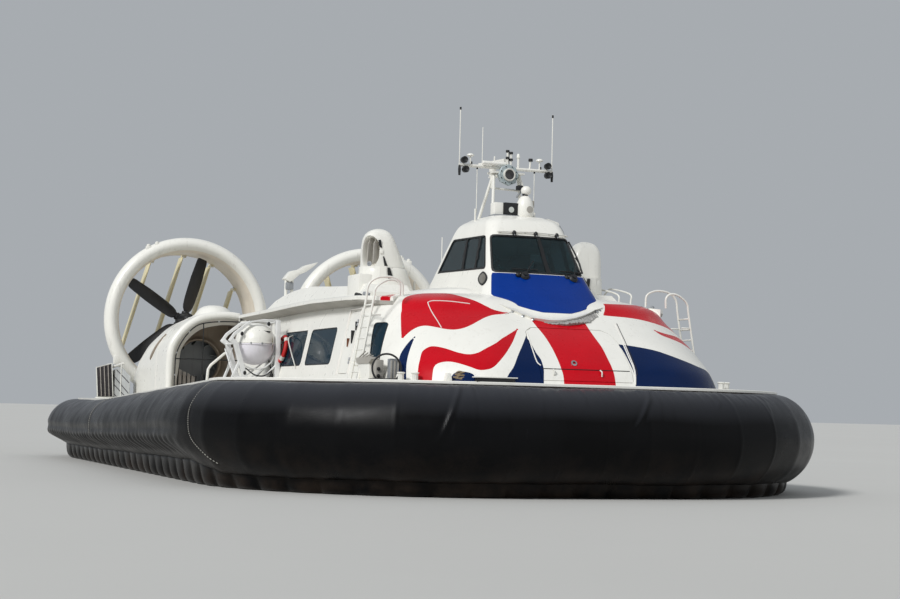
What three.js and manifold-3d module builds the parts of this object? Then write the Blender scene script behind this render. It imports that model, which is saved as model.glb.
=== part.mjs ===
// Passenger hovercraft on an inflated skirt: bow towards -Y, starboard towards -X, +Z up.
// The origin is on the ground under the middle of the craft. All lengths are in millimetres.
import * as THREE from 'three';
import { mergeVertices } from 'three/addons/utils/BufferGeometryUtils.js';
import Module from 'manifold-3d';

const wasm = await Module();
wasm.setup();

// Gap between touching pieces
const GAP = 0.3;

// Deck plan
const DECK_HALF = 5600;
const DECK_BOW = -10150;
const DECK_STERN = 10200;
const BOW_RADIUS = 4300;
const STERN_RADIUS = 2300;
const DECK_Z = 1920;
const HULL_BOTTOM = 620;
const EDGE_DEPTH = 60;
// The deck is level forward of SHEER_START and falls to AFT_SCALE of its height by SHEER_END
const SHEER_START = -6500;
const SHEER_END = 4000;
const AFT_SCALE = 0.79;
const AFT_DECK_Z = DECK_Z * AFT_SCALE;

// Skirt
const SKIRT_BULGE = 750;
const FINGER_TOP = 240;

// Cabin
const CABIN_BACK = 1200;
const CABIN_WALL = 60;
const ROOF_JOINT_Y = -8000;
const ROOF_JOINT_Z = 3270;
const FLOOR_Z = 1250;
const WINDOW_SILL = 2270;
const WINDOW_HEAD = 2940;

// Side door
const SIDE_DOOR = { front: -6760, back: -6200, sill: 2060, head: 3230 };
const DOOR_GAP = 8;

// Bow door
const BOW_DOOR_HALF = 880;
const BOW_DOOR_SILL = 1985;
const BOW_DOOR_HEAD = 2930;

// Control cab
const CAB_ROOF_Z = 4830;

// Propulsion
const DUCT_X = 2575;
const DUCT_Z = 3670;
const BORE = 1815;
const DUCT_FRONT = 8980;
const DUCT_BACK = 10200;
const PROP_Y = 9650;
const PROP_TIP = 1775;
const PROP_BLADES = 5;
const PORT_PROP_TURN = 18;
const RUDDER_Y = 10450;
const RUDDER_CANT = THREE.MathUtils.degToRad(16);
const RUDDER_OFFSETS = [-1260, -420, 420, 1260];
const RUDDER_REACH = 1790;

// Lift fans
const FAN_OUT = 4380;
const CASING_HALF = 2650;
const FAN_FRONT = 3200;
const FAN_BACK = 8000;
const FAN_TOP = 3520;
const FAN_X = 3430;
const FAN_Z = 2450;
const FAN_DISC_Y = 4700;

// Thrusters
const THRUSTER_X = 2170;
const THRUSTER_Y = -5280;
const THRUSTER_BASE_Z = 4150;

// Mast
const MAST_Y = -6310;
const YARD_Z = 6120;
const YARD_HALF = 980;

// Liferaft pods
const POD = { x: 3780, y: -1900, z: 2660, rx: 400, ry: 520, rz: 430 };

function finish(color, roughness, metalness) {
  return { color, roughness, metalness };
}

const WHITE = finish(0xf1f0ea, 0.35, 0.0);
const BLUE = finish(0x0b3f8f, 0.35, 0.0);
const BLACK_RUBBER = finish(0x111214, 0.6, 0.0);
const CREAM = finish(0xd9d2b4, 0.5, 0.0);
const DARK_GLASS = finish(0x14242c, 0.08, 0.0);
const DARK = finish(0x1b1c1e, 0.5, 0.1);
const GREY = finish(0x8b8f92, 0.5, 0.2);
const STEEL = finish(0xb9bcbf, 0.35, 0.8);
const SEAT = finish(0x27324a, 0.9, 0.0);

// A closed shape as a solid for cutting and joining
function solid(geometry) {
  const bare = geometry.clone();
  bare.deleteAttribute('normal');
  bare.deleteAttribute('uv');
  const merged = mergeVertices(bare, 0.01);
  const source = merged.index.array;
  const triangles = [];
  for (let i = 0; i < source.length; i += 3) {
    const [a, b, c] = [source[i], source[i + 1], source[i + 2]];
    if (a !== b && b !== c && c !== a) triangles.push(a, b, c);
  }
  return new wasm.Manifold(new wasm.Mesh({
    numProp: 3,
    vertProperties: Float32Array.from(merged.attributes.position.array),
    triVerts: Uint32Array.from(triangles),
  }));
}

function join(...geometries) {
  return geometryOf(geometries.map(solid).reduce((sum, next) => sum.add(next)));
}

function cut(geometry, ...tools) {
  return geometryOf(tools.map(solid).reduce((rest, tool) => rest.subtract(tool), solid(geometry)));
}

function common(geometry, ...others) {
  return geometryOf(others.map(solid).reduce((rest, other) => rest.intersect(other), solid(geometry)));
}

function geometryOf(manifold) {
  const mesh = manifold.getMesh();
  const geometry = new THREE.BufferGeometry();
  geometry.setAttribute('position', new THREE.BufferAttribute(mesh.vertProperties, 3));
  geometry.setIndex(new THREE.BufferAttribute(mesh.triVerts, 1));
  geometry.computeVertexNormals();
  return geometry;
}

function box(x0, x1, y0, y1, z0, z1) {
  const geometry = new THREE.BoxGeometry(x1 - x0, y1 - y0, z1 - z0);
  return geometry.translate((x0 + x1) / 2, (y0 + y1) / 2, (z0 + z1) / 2);
}

function shapeOf(points) {
  return new THREE.Shape(points.map(([a, b]) => new THREE.Vector2(a, b)));
}

function extrude(points, depth) {
  return new THREE.ExtrudeGeometry(shapeOf(points), { depth, bevelEnabled: false });
}

// Prisms: plan points [x, y] run up Z, side points [y, z] run along X, front points [x, z] along Y
function planPrism(points, z0, z1) {
  return extrude(points, z1 - z0).translate(0, 0, z0);
}

function sidePrism(points, x0, x1) {
  const turn = new THREE.Matrix4().makeBasis(
    new THREE.Vector3(0, 1, 0), new THREE.Vector3(0, 0, 1), new THREE.Vector3(1, 0, 0));
  return extrude(points, x1 - x0).applyMatrix4(turn).translate(x0, 0, 0);
}

function frontPrism(points, y0, y1) {
  const turn = new THREE.Matrix4().makeBasis(
    new THREE.Vector3(1, 0, 0), new THREE.Vector3(0, 0, 1), new THREE.Vector3(0, -1, 0));
  return extrude(points, y1 - y0).applyMatrix4(turn).translate(0, y1, 0);
}

// A round bar between two points
function bar(from, to, radius, sides = 8) {
  const a = new THREE.Vector3(...from);
  const b = new THREE.Vector3(...to);
  const geometry = new THREE.CylinderGeometry(radius, radius, a.distanceTo(b), sides);
  const turn = new THREE.Quaternion().setFromUnitVectors(
    new THREE.Vector3(0, 1, 0), b.clone().sub(a).normalize());
  geometry.applyQuaternion(turn);
  return geometry.translate((a.x + b.x) / 2, (a.y + b.y) / 2, (a.z + b.z) / 2);
}

// A tube through points, with rounded bends
function tube(points, radius, steps) {
  const path = new THREE.CatmullRomCurve3(points.map((p) => new THREE.Vector3(...p)), false, 'centripetal');
  const section = [];
  for (let i = 0; i < 8; i += 1) {
    const angle = (i * Math.PI) / 4;
    section.push([radius * Math.cos(angle), radius * Math.sin(angle)]);
  }
  return new THREE.ExtrudeGeometry(shapeOf(section), { steps, bevelEnabled: false, extrudePath: path });
}

function mirrored(geometry) {
  const copy = geometry.clone().scale(-1, 1, 1);
  if (!copy.index) {
    const count = copy.attributes.position.count;
    copy.setIndex([...Array(count).keys()]);
  }
  const index = copy.index.array;
  for (let i = 0; i < index.length; i += 3) {
    [index[i], index[i + 2]] = [index[i + 2], index[i]];
  }
  copy.computeVertexNormals();
  return copy;
}

// A closed body lofted through level outlines that all have the same number of points
function loft(levels) {
  const sides = levels[0].points.length;
  const profile = [new THREE.Vector2(0, 0)];
  levels.forEach((_, i) => profile.push(new THREE.Vector2(1, i)));
  profile.push(new THREE.Vector2(0, levels.length - 1));
  const geometry = new THREE.LatheGeometry(profile, sides);
  const position = geometry.attributes.position;
  const rows = profile.length;
  for (let i = 0; i < position.count; i += 1) {
    const row = i % rows;
    const column = Math.floor(i / rows) % sides;
    const level = levels[Math.min(Math.max(row - 1, 0), levels.length - 1)];
    const onAxis = row === 0 || row === rows - 1;
    const [x, y] = onAxis ? level.centre : level.points[column];
    position.setXYZ(i, x, y, level.z);
  }
  return orient(geometry);
}

// Faces of a warped lathe may come out inside out: turn them if the volume is negative
function orient(geometry) {
  const position = geometry.attributes.position;
  const index = geometry.index.array;
  const [a, b, c] = [new THREE.Vector3(), new THREE.Vector3(), new THREE.Vector3()];
  let volume = 0;
  for (let i = 0; i < index.length; i += 3) {
    a.fromBufferAttribute(position, index[i]);
    b.fromBufferAttribute(position, index[i + 1]);
    c.fromBufferAttribute(position, index[i + 2]);
    volume += a.dot(b.cross(c));
  }
  if (volume < 0) {
    for (let i = 0; i < index.length; i += 3) {
      [index[i], index[i + 2]] = [index[i + 2], index[i]];
    }
  }
  return geometry;
}

function arc(cx, cy, radius, from, to, count) {
  const points = [];
  for (let i = 0; i <= count; i += 1) {
    const angle = THREE.MathUtils.degToRad(from + ((to - from) * i) / count);
    points.push([cx + radius * Math.cos(angle), cy + radius * Math.sin(angle)]);
  }
  return points;
}

// Deck plan outline, moved out by the offset, anticlockwise from the port side
function deckOutline(offset) {
  const half = DECK_HALF + offset;
  const bowX = DECK_HALF - BOW_RADIUS;
  const bowY = DECK_BOW + BOW_RADIUS;
  const sternX = DECK_HALF - STERN_RADIUS;
  const sternY = DECK_STERN - STERN_RADIUS;
  return [
    [half, -1000], [half, SHEER_END],
    ...arc(sternX, sternY, STERN_RADIUS + offset, 0, 90, 6),
    ...arc(-sternX, sternY, STERN_RADIUS + offset, 90, 180, 6),
    [-half, SHEER_END], [-half, -1000],
    ...arc(-bowX, bowY, BOW_RADIUS + offset, 180, 270, 10),
    ...arc(bowX, bowY, BOW_RADIUS + offset, 270, 360, 10),
  ];
}

function sheer(y) {
  const part = THREE.MathUtils.clamp((y - SHEER_START) / (SHEER_END - SHEER_START), 0, 1);
  return 1 - (1 - AFT_SCALE) * part;
}

// A ring of the given section [offset, z] that follows the deck plan and its sheer
function deckRing(section) {
  const sides = deckOutline(0).length;
  const loop = [...section, section[0]];
  const geometry = new THREE.LatheGeometry(loop.map(([, z], i) => new THREE.Vector2(10 + i, z)), sides);
  const position = geometry.attributes.position;
  const outlines = loop.map(([offset]) => deckOutline(offset));
  for (let i = 0; i < position.count; i += 1) {
    const row = i % loop.length;
    const column = Math.floor(i / loop.length) % sides;
    const [x, y] = outlines[row][column];
    position.setXYZ(i, x, y, loop[row][1] * sheer(y));
  }
  return orient(geometry);
}

// Outline of the cabin body at one level: square stern, nose with rounded corners and a slight crown
function bodyOutline({ half, nose, radius, back, crown }) {
  const points = [
    [half, back], [0, back], [-half, back],
    ...arc(-(half - radius), nose + radius, radius, 180, 270, 7),
    ...arc(half - radius, nose + radius, radius, 270, 360, 7),
  ];
  return points.map(([x, y]) => [x, y < nose + radius ? y - crown * (1 - (x / half) ** 2) : y]);
}

function bodyLoft(rows, back, crown, centreY) {
  return loft(rows.map(([z, half, nose, radius]) => (
    { z, points: bodyOutline({ half, nose, radius, back, crown }), centre: [0, centreY] })));
}

// Pieces of the craft
const craft = new THREE.Group();

function piece(name, geometry, look, place = {}) {
  const mesh = new THREE.Mesh(geometry, new THREE.MeshStandardMaterial(look));
  mesh.name = name;
  if (place.position) mesh.position.set(...place.position);
  if (place.rotation) mesh.rotation.set(...place.rotation);
  craft.add(mesh);
}

// The same starboard shape for both sides
function pair(name, geometry, look) {
  piece(`${name}_starboard`, geometry, look);
  piece(`${name}_port`, mirrored(geometry), look);
}

// Hull: a decked buoyancy box with a well under the cabin, on two landing skids
const deckSide = [
  [-11000, 0], [11000, 0], [11000, AFT_DECK_Z], [SHEER_END, AFT_DECK_Z],
  [SHEER_START, DECK_Z], [-11000, DECK_Z],
];
const aboveDeck = sidePrism([
  [-11500, DECK_Z + GAP], [SHEER_START, DECK_Z + GAP], [SHEER_END, AFT_DECK_Z + GAP],
  [11500, AFT_DECK_Z + GAP], [11500, 6000], [-11500, 6000],
], -7000, 7000);
const belowDeck = sidePrism([
  [-11500, -100], [11500, -100], [11500, AFT_DECK_Z + GAP], [SHEER_END, AFT_DECK_Z + GAP],
  [SHEER_START, DECK_Z + GAP], [-11500, DECK_Z + GAP],
], -7000, 7000);
const hullBlock = common(
  planPrism(deckOutline(0), HULL_BOTTOM, DECK_Z + 50), sidePrism(deckSide, -7000, 7000));
const bollards = [];
for (const [x, y] of [[-3150, -9350], [-2950, -9500], [3150, -9350], [2950, -9500]]) {
  bollards.push(bar([x, y, DECK_Z - 20], [x, y, DECK_Z + 135], 55));
}
const well = box(-2900, 2900, -8300, 900, FLOOR_Z, 2500);
piece('hull', cut(join(hullBlock, ...bollards), well), WHITE);
pair('landing_skid', sidePrism([
  [-6100, 380], [6100, 380], [6500, HULL_BOTTOM - GAP], [-6500, HULL_BOTTOM - GAP],
], -3700, -2900), GREY);

// Skirt: a fat loop around the hull edge, and the finger band below it
piece('skirt_bag', deckRing([
  [GAP, DECK_Z - EDGE_DEPTH], [110, 1868], [300, 1810], [490, 1670], [640, 1460], [725, 1230],
  [SKIRT_BULGE, 1020], [715, 770], [600, 520], [430, 340], [260, FINGER_TOP], [GAP, FINGER_TOP],
]), BLACK_RUBBER);
piece('skirt_fingers', deckRing([
  [200, FINGER_TOP - GAP], [150, 110], [40, 0], [-30, 0], [60, 110], [110, FINGER_TOP - GAP],
]), BLACK_RUBBER);

// Cabin body levels: height, half width, nose, corner radius
const BODY = [
  [1400, 3290, -10050, 1750],
  [1920, 3290, -10050, 1750],
  [2200, 3232, -9900, 1750],
  [2450, 3178, -9660, 1800],
  [2700, 3124, -9370, 1850],
  [2960, 3065, -9000, 1900],
  [3200, 3000, -8640, 1900],
  [3380, 2920, -8430, 1850],
  [3480, 2760, -8260, 1850],
  [3550, 2450, -8050, 1800],
  [3580, 2050, -7800, 1700],
];
const insetBody = (inset, noseInset) => bodyLoft(
  BODY.map(([z, half, nose, radius], i) => [
    i === 0 ? z - 200 : z - (z > 3000 ? 55 : 20), half - inset, nose + noseInset, radius - 50]),
  CABIN_BACK - inset, 90, -4000);
const bodyOuter = bodyLoft(BODY, CABIN_BACK, 90, -4000);
const bodyInner = insetBody(CABIN_WALL, 80);
const bodyShell = cut(bodyOuter, bodyInner, belowDeck);

function wallWindow(front, back, sill, head) {
  return sidePrism([[front, sill], [back, sill], [back, head], [front, head]], -4500, 4500);
}

// Side windows: front edge, back edge
const SIDE_WINDOWS = [[-8400, -7720], [-5550, -3950], [-3630, -2100]];
const windowCuts = SIDE_WINDOWS.map(([front, back]) => wallWindow(front, back, WINDOW_SILL, WINDOW_HEAD));

// Half width of the leaning cabin wall at a height
const WALL_LEAN = 0.2166;
const wallX = (z) => 3290 - (z - DECK_Z) * WALL_LEAN;

// Doorway through the starboard wall, square to its lean, so that the leaf swings clear of the frame
function sideDoorPrism(inset) {
  const middle = (SIDE_DOOR.sill + SIDE_DOOR.head) / 2;
  const height = (z) => z + WALL_LEAN * (wallX(middle) - wallX(z));
  const [front, back] = [SIDE_DOOR.front + inset, SIDE_DOOR.back - inset * 2];
  const [sill, head] = [height(SIDE_DOOR.sill + inset), height(SIDE_DOOR.head - inset)];
  const prism = sidePrism([[front, sill], [back, sill], [back, head], [front, head]], -600, 600);
  const lean = new THREE.Matrix4().set(1, 0, 0, 0, 0, 1, 0, 0, -WALL_LEAN, 0, 1, 0, 0, 0, 0, 1);
  return prism.applyMatrix4(lean).translate(-wallX(middle), 0, 0);
}
const doorHole = sideDoorPrism(0);

// The leaf's shoulders keep further off than its edges, because they rise first as it opens
function bowDoorPrism(inset) {
  const half = BOW_DOOR_HALF - inset;
  const sill = BOW_DOOR_SILL + inset;
  const head = BOW_DOOR_HEAD - inset;
  const shoulder = head - 220 - inset * 5;
  const corner = head - 70 - inset * 3;
  return frontPrism([
    [-half, sill], [half, sill], [half, shoulder], [half - 60, corner], [half - 200, head],
    [-half + 200, head], [-half + 60, corner], [-half, shoulder],
  ], -11500, -8000);
}

// Bow door hinge on its upper edge, carried by two lugs on the nose
const HINGE = { y: -9200, z: 2985, radius: 24, reach: 330 };
function hingeArm(x0, x1, y, z) {
  return sidePrism([
    [HINGE.y - 15, HINGE.z - 14], [HINGE.y + 15, HINGE.z + 14], [y, z + 20], [y, z - 20],
  ], x0, x1);
}
const lugs = [];
for (const [x0, x1] of [[-HINGE.reach - 90, -HINGE.reach - GAP], [HINGE.reach + GAP, HINGE.reach + 90]]) {
  lugs.push(bar([x0, HINGE.y, HINGE.z], [x1, HINGE.y, HINGE.z], HINGE.radius));
  lugs.push(hingeArm(x0, x1, -9040, 2985));
}

// Side door hinges: the axis leans with the wall
function doorBarrel(z0, z1) {
  const y = SIDE_DOOR.front - 12;
  return bar([-wallX(z0) - 22, y, z0], [-wallX(z1) - 22, y, z1], 18, 8);
}
const DOOR_HINGES = [2300, 3000];
const frameKnuckles = [];
const doorKnuckles = [];
for (const z of DOOR_HINGES) {
  const x = -wallX(z);
  const [front, pin] = [SIDE_DOOR.front - 45, SIDE_DOOR.front - 12];
  frameKnuckles.push(doorBarrel(z - 60, z - GAP), box(x - 20, x + 40, front, pin, z - 50, z - 12));
  doorKnuckles.push(doorBarrel(z + GAP, z + 60), box(x - 26, x - 3, pin, pin + 60, z + 12, z + 50));
  doorKnuckles.push(box(x - 10, x + 20, pin + 24, pin + 60, z + 12, z + 50));
}

const roofZone = box(-4000, 4000, ROOF_JOINT_Y, 3000, ROOF_JOINT_Z, 5000);
const cabinWalls = cut(bodyShell, roofZone, ...windowCuts, doorHole, mirrored(doorHole), bowDoorPrism(0));
piece('cabin', join(cabinWalls, ...lugs, ...frameKnuckles, ...frameKnuckles.map(mirrored)), WHITE);

// Roof panel with a gutter that overhangs the walls and follows the nose round
const gutterBody = bodyLoft([
  [3285, 2950, -8560, 1900],
  [3350, 3200, -8830, 2100],
  [3420, 3200, -8830, 2100],
  [3500, 2700, -8250, 1800],
], CABIN_BACK, 90, -4000);
const roofRegion = box(-4000, 4000, ROOF_JOINT_Y + GAP, 3000, ROOF_JOINT_Z + GAP, 5000);
piece('cabin_roof', common(join(bodyShell, cut(gutterBody, bodyInner)), roofRegion), WHITE);

piece('bow_door', join(
  common(bodyShell, bowDoorPrism(DOOR_GAP)),
  bar([-HINGE.reach, HINGE.y, HINGE.z], [HINGE.reach, HINGE.y, HINGE.z], HINGE.radius),
  hingeArm(-260, -200, -9180, 2860), hingeArm(200, 260, -9180, 2860),
), WHITE);

const starboardHalf = box(-4000, 0, -12000, 3000, 0, 5000);
pair('side_door', join(common(bodyShell, sideDoorPrism(DOOR_GAP)), ...doorKnuckles), WHITE);

// Side window glass bonded to the inner face of the wall: front edge, back edge of each strip
const glassSkin = cut(insetBody(CABIN_WALL + GAP, 80 + GAP), insetBody(CABIN_WALL + 8, 88));
const GLASS_STRIPS = { window_glass_fore: [-8450, -7670], window_glass_aft: [-5600, -2050] };
for (const [name, [front, back]] of Object.entries(GLASS_STRIPS)) {
  const strip = wallWindow(front, back, WINDOW_SILL - 50, WINDOW_HEAD + 50);
  pair(name, common(glassSkin, strip, starboardHalf), DARK_GLASS);
}

// Passenger seats: benches on two floor rails
const benches = [box(-1650, -1550, -7000, 300, FLOOR_Z + GAP, FLOOR_Z + 60)];
benches.push(box(1550, 1650, -7000, 300, FLOOR_Z + GAP, FLOOR_Z + 60));
for (let y = -6900; y < 100; y += 1150) {
  for (const [x0, x1] of [[-2600, -900], [900, 2600]]) {
    benches.push(box(x0, x1, y, y + 460, FLOOR_Z + 320, FLOOR_Z + 450));
    benches.push(box(x0, x1, y + 400, y + 500, FLOOR_Z + 400, FLOOR_Z + 1050));
  }
  benches.push(box(-1640, -1560, y + 50, y + 400, FLOOR_Z + 50, FLOOR_Z + 350));
  benches.push(box(1560, 1640, y + 50, y + 400, FLOOR_Z + 50, FLOOR_Z + 350));
}
const [portBenches, starboardBenches] = [[], []];
for (const bench of benches) {
  bench.computeBoundingBox();
  (bench.boundingBox.min.x > 0 ? portBenches : starboardBenches).push(bench);
}
piece('passenger_seats_port', join(...portBenches), SEAT);
piece('passenger_seats_starboard', join(...starboardBenches), SEAT);

// Control cab levels: height, half width, front corner, back, corner radius, crown of the front
const CAB = [
  [3000, 1260, -8560, -4450, 250, 440],
  [3250, 1230, -8420, -4480, 250, 330],
  [3500, 1160, -8230, -4600, 250, 260],
  [3970, 1000, -7900, -4900, 220, 140],
  [4690, 830, -7500, -5400, 200, 90],
  [4980, 730, -7320, -5600, 200, 80],
  [5110, 540, -7080, -5780, 180, 60],
];
function cabOutline(half, front, back, radius, crown) {
  const points = [
    ...arc(half - radius, back - radius, radius, 0, 90, 3),
    ...arc(-(half - radius), back - radius, radius, 90, 180, 3),
    ...arc(-(half - radius), front + radius, radius, 180, 270, 4), [-half / 2, front], [0, front],
    [half / 2, front], ...arc(half - radius, front + radius, radius, 270, 360, 4),
  ];
  return points.map(([x, y]) => [x, y < front + radius ? y - crown * (1 - (x / half) ** 2) : y]);
}
function cabLoft(inset, lower) {
  return loft(CAB.map(([z, half, front, back, radius, crown], i) => ({
    z: i === 0 ? z - lower : z - inset * (i > 4 ? 1 : 0),
    points: cabOutline(half - inset, front + inset * 1.3, back - inset * 1.2, radius - inset / 2, crown),
    centre: [0, -6300],
  })));
}
const CAB_WALL = 40;
const bodyTop = bodyOuter.clone().translate(0, 0, GAP);
const cabInner = cabLoft(CAB_WALL, 500);
const cabShell = cut(cabLoft(0, 0), cabInner, bodyTop);
const roofCut = box(-2000, 2000, -9500, -4000, CAB_ROOF_Z, 6000);
function blueZone(gap) {
  return frontPrism([
    [-960 + gap, 3975 - gap], [-1130 + gap, 3530 + gap], [0, 3190 + gap * 1.2],
    [1130 - gap, 3530 + gap], [960 - gap, 3975 - gap],
  ], -9500, -7700);
}
const screenHole = frontPrism([[-860, 4030], [860, 4030], [730, 4660], [-730, 4660]], -9500, -7000);
const cabSideHole = sidePrism([[-7620, 4050], [-5330, 4120], [-5740, 4680], [-7280, 4680]], -2000, 2000);
function apronZone(gap) {
  return frontPrism([
    [-1280, 3575 - gap], [0, 3190 - gap], [1280, 3575 - gap],
    [1280, 3400], [0, 2990], [-1280, 3400],
  ], -9500, -7700 - gap);
}
piece('cab', cut(cabShell, roofCut, blueZone(0), apronZone(-5), screenHole, cabSideHole), WHITE);
piece('cab_roof', common(cabShell, box(-2000, 2000, -9500, -4000, CAB_ROOF_Z + GAP, 6000)), WHITE);
piece('cab_front_panel', common(cabShell, blueZone(GAP)), BLUE);
piece('cab_apron', cut(common(cabLoft(-70, 0), apronZone(GAP)), cabInner, bodyTop), WHITE);

const cabGlass = cut(cabLoft(CAB_WALL + GAP, 500), cabLoft(CAB_WALL + 8, 500));
piece('windscreen', common(
  cabGlass, frontPrism([[-890, 4000], [890, 4000], [760, 4690], [-760, 4690]], -9500, -7260)), DARK_GLASS);
pair('cab_side_glass', common(
  cabGlass, box(-2000, 0, -9500, -4000, 3000, 6000),
  sidePrism([[-7560, 4020], [-5280, 4090], [-5700, 4710], [-7235, 4710]], -2000, 0)), DARK_GLASS);

const cabFloor = 3580 + 2 * GAP;
piece('cab_console', join(
  box(-700, 700, -7500, -7150, cabFloor, cabFloor + 420),
  box(-620, 620, -7250, -7120, cabFloor + 100, cabFloor + 470)), DARK);
const cabSeats = [box(-560, 560, -6750, -6250, cabFloor, cabFloor + 30)];
for (const x of [-340, 340]) {
  cabSeats.push(box(x - 60, x + 60, -6560, -6440, cabFloor + 20, cabFloor + 300));
  cabSeats.push(box(x - 220, x + 220, -6750, -6280, cabFloor + 280, cabFloor + 380));
  cabSeats.push(box(x - 210, x + 210, -6330, -6240, cabFloor + 340, cabFloor + 880));
}
piece('cab_seats', join(...cabSeats), DARK);

// Air trunks along the roof that feed the thrusters
const gutterTop = gutterBody.clone().translate(0, 0, GAP);
const trunk = common(
  frontPrism([[-2790, 3440], [-2500, 3960], [-1820, 3960], [-1700, 3440]], -5950, CABIN_BACK),
  sidePrism([
    [-5950, 3440], [850, 3440], [850, 3520], [420, 3760], [0, 3850], [-700, 3930], [-1400, 3960],
    [-2100, 3950], [-3500, 3870], [-4700, 3810], [-5780, 3800], [-5950, 3640],
  ], -3000, 0));
const thrusterBase = bar(
  [-THRUSTER_X, THRUSTER_Y, 3700], [-THRUSTER_X, THRUSTER_Y, THRUSTER_BASE_Z - GAP], 400, 20);
pair('air_trunk', cut(join(trunk, thrusterBase), bodyTop, gutterTop), WHITE);

// Swivelling thruster nozzle, its outlet facing outboard at rest
const thrusterSide = [
  [360, 0], [360, 330], [330, 560], [230, 700], [90, 745], [-35, 700], [-145, 560], [-280, 250], [-420, 0],
];
const nozzle = common(
  sidePrism(thrusterSide, -270, 270),
  frontPrism([
    [-270, -5], [270, -5], [270, 400], [235, 610], [135, 720],
    [0, 755], [-135, 720], [-235, 610], [-270, 400],
  ], -600, 600));
const outlet = box(-205, 205, 50, 700, 80, 520);
const vanes = [-70, 70].map((x) => box(x - 5, x + 5, 90, 340, 75, 525));
const thruster = join(cut(nozzle, outlet), ...vanes);
for (const [side, s] of [['starboard', -1], ['port', 1]]) {
  piece(`thruster_${side}`, thruster, WHITE, {
    position: [s * THRUSTER_X, THRUSTER_Y, THRUSTER_BASE_Z], rotation: [0, 0, (-s * Math.PI) / 2] });
}

// Engine casing behind the cabin, open underneath, with a plain block for each engine
const casingSide = [
  [CABIN_BACK + GAP, 1300], [8250, 1300], [8250, 1700], [7600, 2500], [5300, 3380],
  [4600, 3420], [CABIN_BACK + GAP, 3420],
];
const casingHollow = [
  [CABIN_BACK + 60, 1200], [8190, 1200], [8190, 1690], [7560, 2450], [5280, 3320],
  [4590, 3360], [CABIN_BACK + 60, 3360],
];
piece('engine_casing', cut(
  sidePrism(casingSide, -CASING_HALF, CASING_HALF),
  sidePrism(casingHollow, -CASING_HALF + 60, CASING_HALF - 60), belowDeck), WHITE);
pair('engine_block', box(-1900, -800, 4100, 5900, AFT_DECK_Z + GAP, AFT_DECK_Z + 1200), GREY);

// Lift fan housings: an arched intake with a thick rounded lip, a bell mouth and a fan behind it
function fanSection(inset, y0, y1) {
  const out = FAN_OUT - inset;
  const inner = CASING_HALF + GAP + Math.min(inset, 50);
  return frontPrism([
    [-inner, 1300 - inset], [-out, 1300 - inset],
    ...arc(-FAN_OUT + 900, FAN_TOP - 900, 900 - inset, 180, 90, 7), [-inner, FAN_TOP - inset],
  ], y0, y1);
}
function fanSide(inset, front) {
  return sidePrism([
    [front, 1200 - inset], [front, FAN_TOP + 20], [FAN_FRONT, FAN_TOP + 20 - inset], [4300, 3420 - inset],
    [5300, 3240 - inset], [6400, 2920 - inset], [7250, 2560 - inset], [7800 - inset, 2120],
    [FAN_BACK - inset, 1500], [FAN_BACK - inset, 1200 - inset],
  ], -5000, 0);
}
const LIP = 180;
const fanDome = new THREE.SphereGeometry(1, 20, 12).scale(420, 560, 330).translate(-3150, 3800, 3450);
const fanShell = cut(
  join(common(fanSection(0, FAN_FRONT, FAN_BACK), fanSide(0, FAN_FRONT)), fanDome),
  common(fanSection(LIP, 3000, FAN_FRONT + 260), fanSide(LIP, 3000)),
  common(fanSection(50, FAN_FRONT + 250, FAN_BACK), fanSide(50, 3000)));
const bellY = 4200;
const bulkhead = common(fanSection(40, bellY, bellY + 50), fanSide(40, 3000));
const bell = bar([-FAN_X, bellY - 120, FAN_Z], [-FAN_X, bellY + 50, FAN_Z], 560, 24);
const bellHole = bar([-FAN_X, bellY - 200, FAN_Z], [-FAN_X, bellY + 100, FAN_Z], 500, 24);
const backPlate = common(fanSection(40, FAN_DISC_Y + 250, FAN_DISC_Y + 300), fanSide(40, 3000));
pair('fan_housing', cut(join(fanShell, cut(join(bulkhead, bell), bellHole), backPlate), belowDeck), WHITE);

const fanParts = [
  new THREE.CylinderGeometry(620, 620, 25, 24),
  new THREE.CylinderGeometry(110, 110, 250 - GAP, 12).translate(0, 125 - GAP / 2, 0),
];
for (let i = 0; i < 10; i += 1) {
  fanParts.push(new THREE.BoxGeometry(12, 300, 200).rotateY(0.5).translate(0, -155, 500)
    .rotateY((i * Math.PI) / 5));
}
const liftFan = join(...fanParts);
for (const [side, s] of [['starboard', -1], ['port', 1]]) {
  piece(`lift_fan_${side}`, liftFan, GREY, { position: [s * FAN_X, FAN_DISC_Y, FAN_Z] });
}

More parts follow.
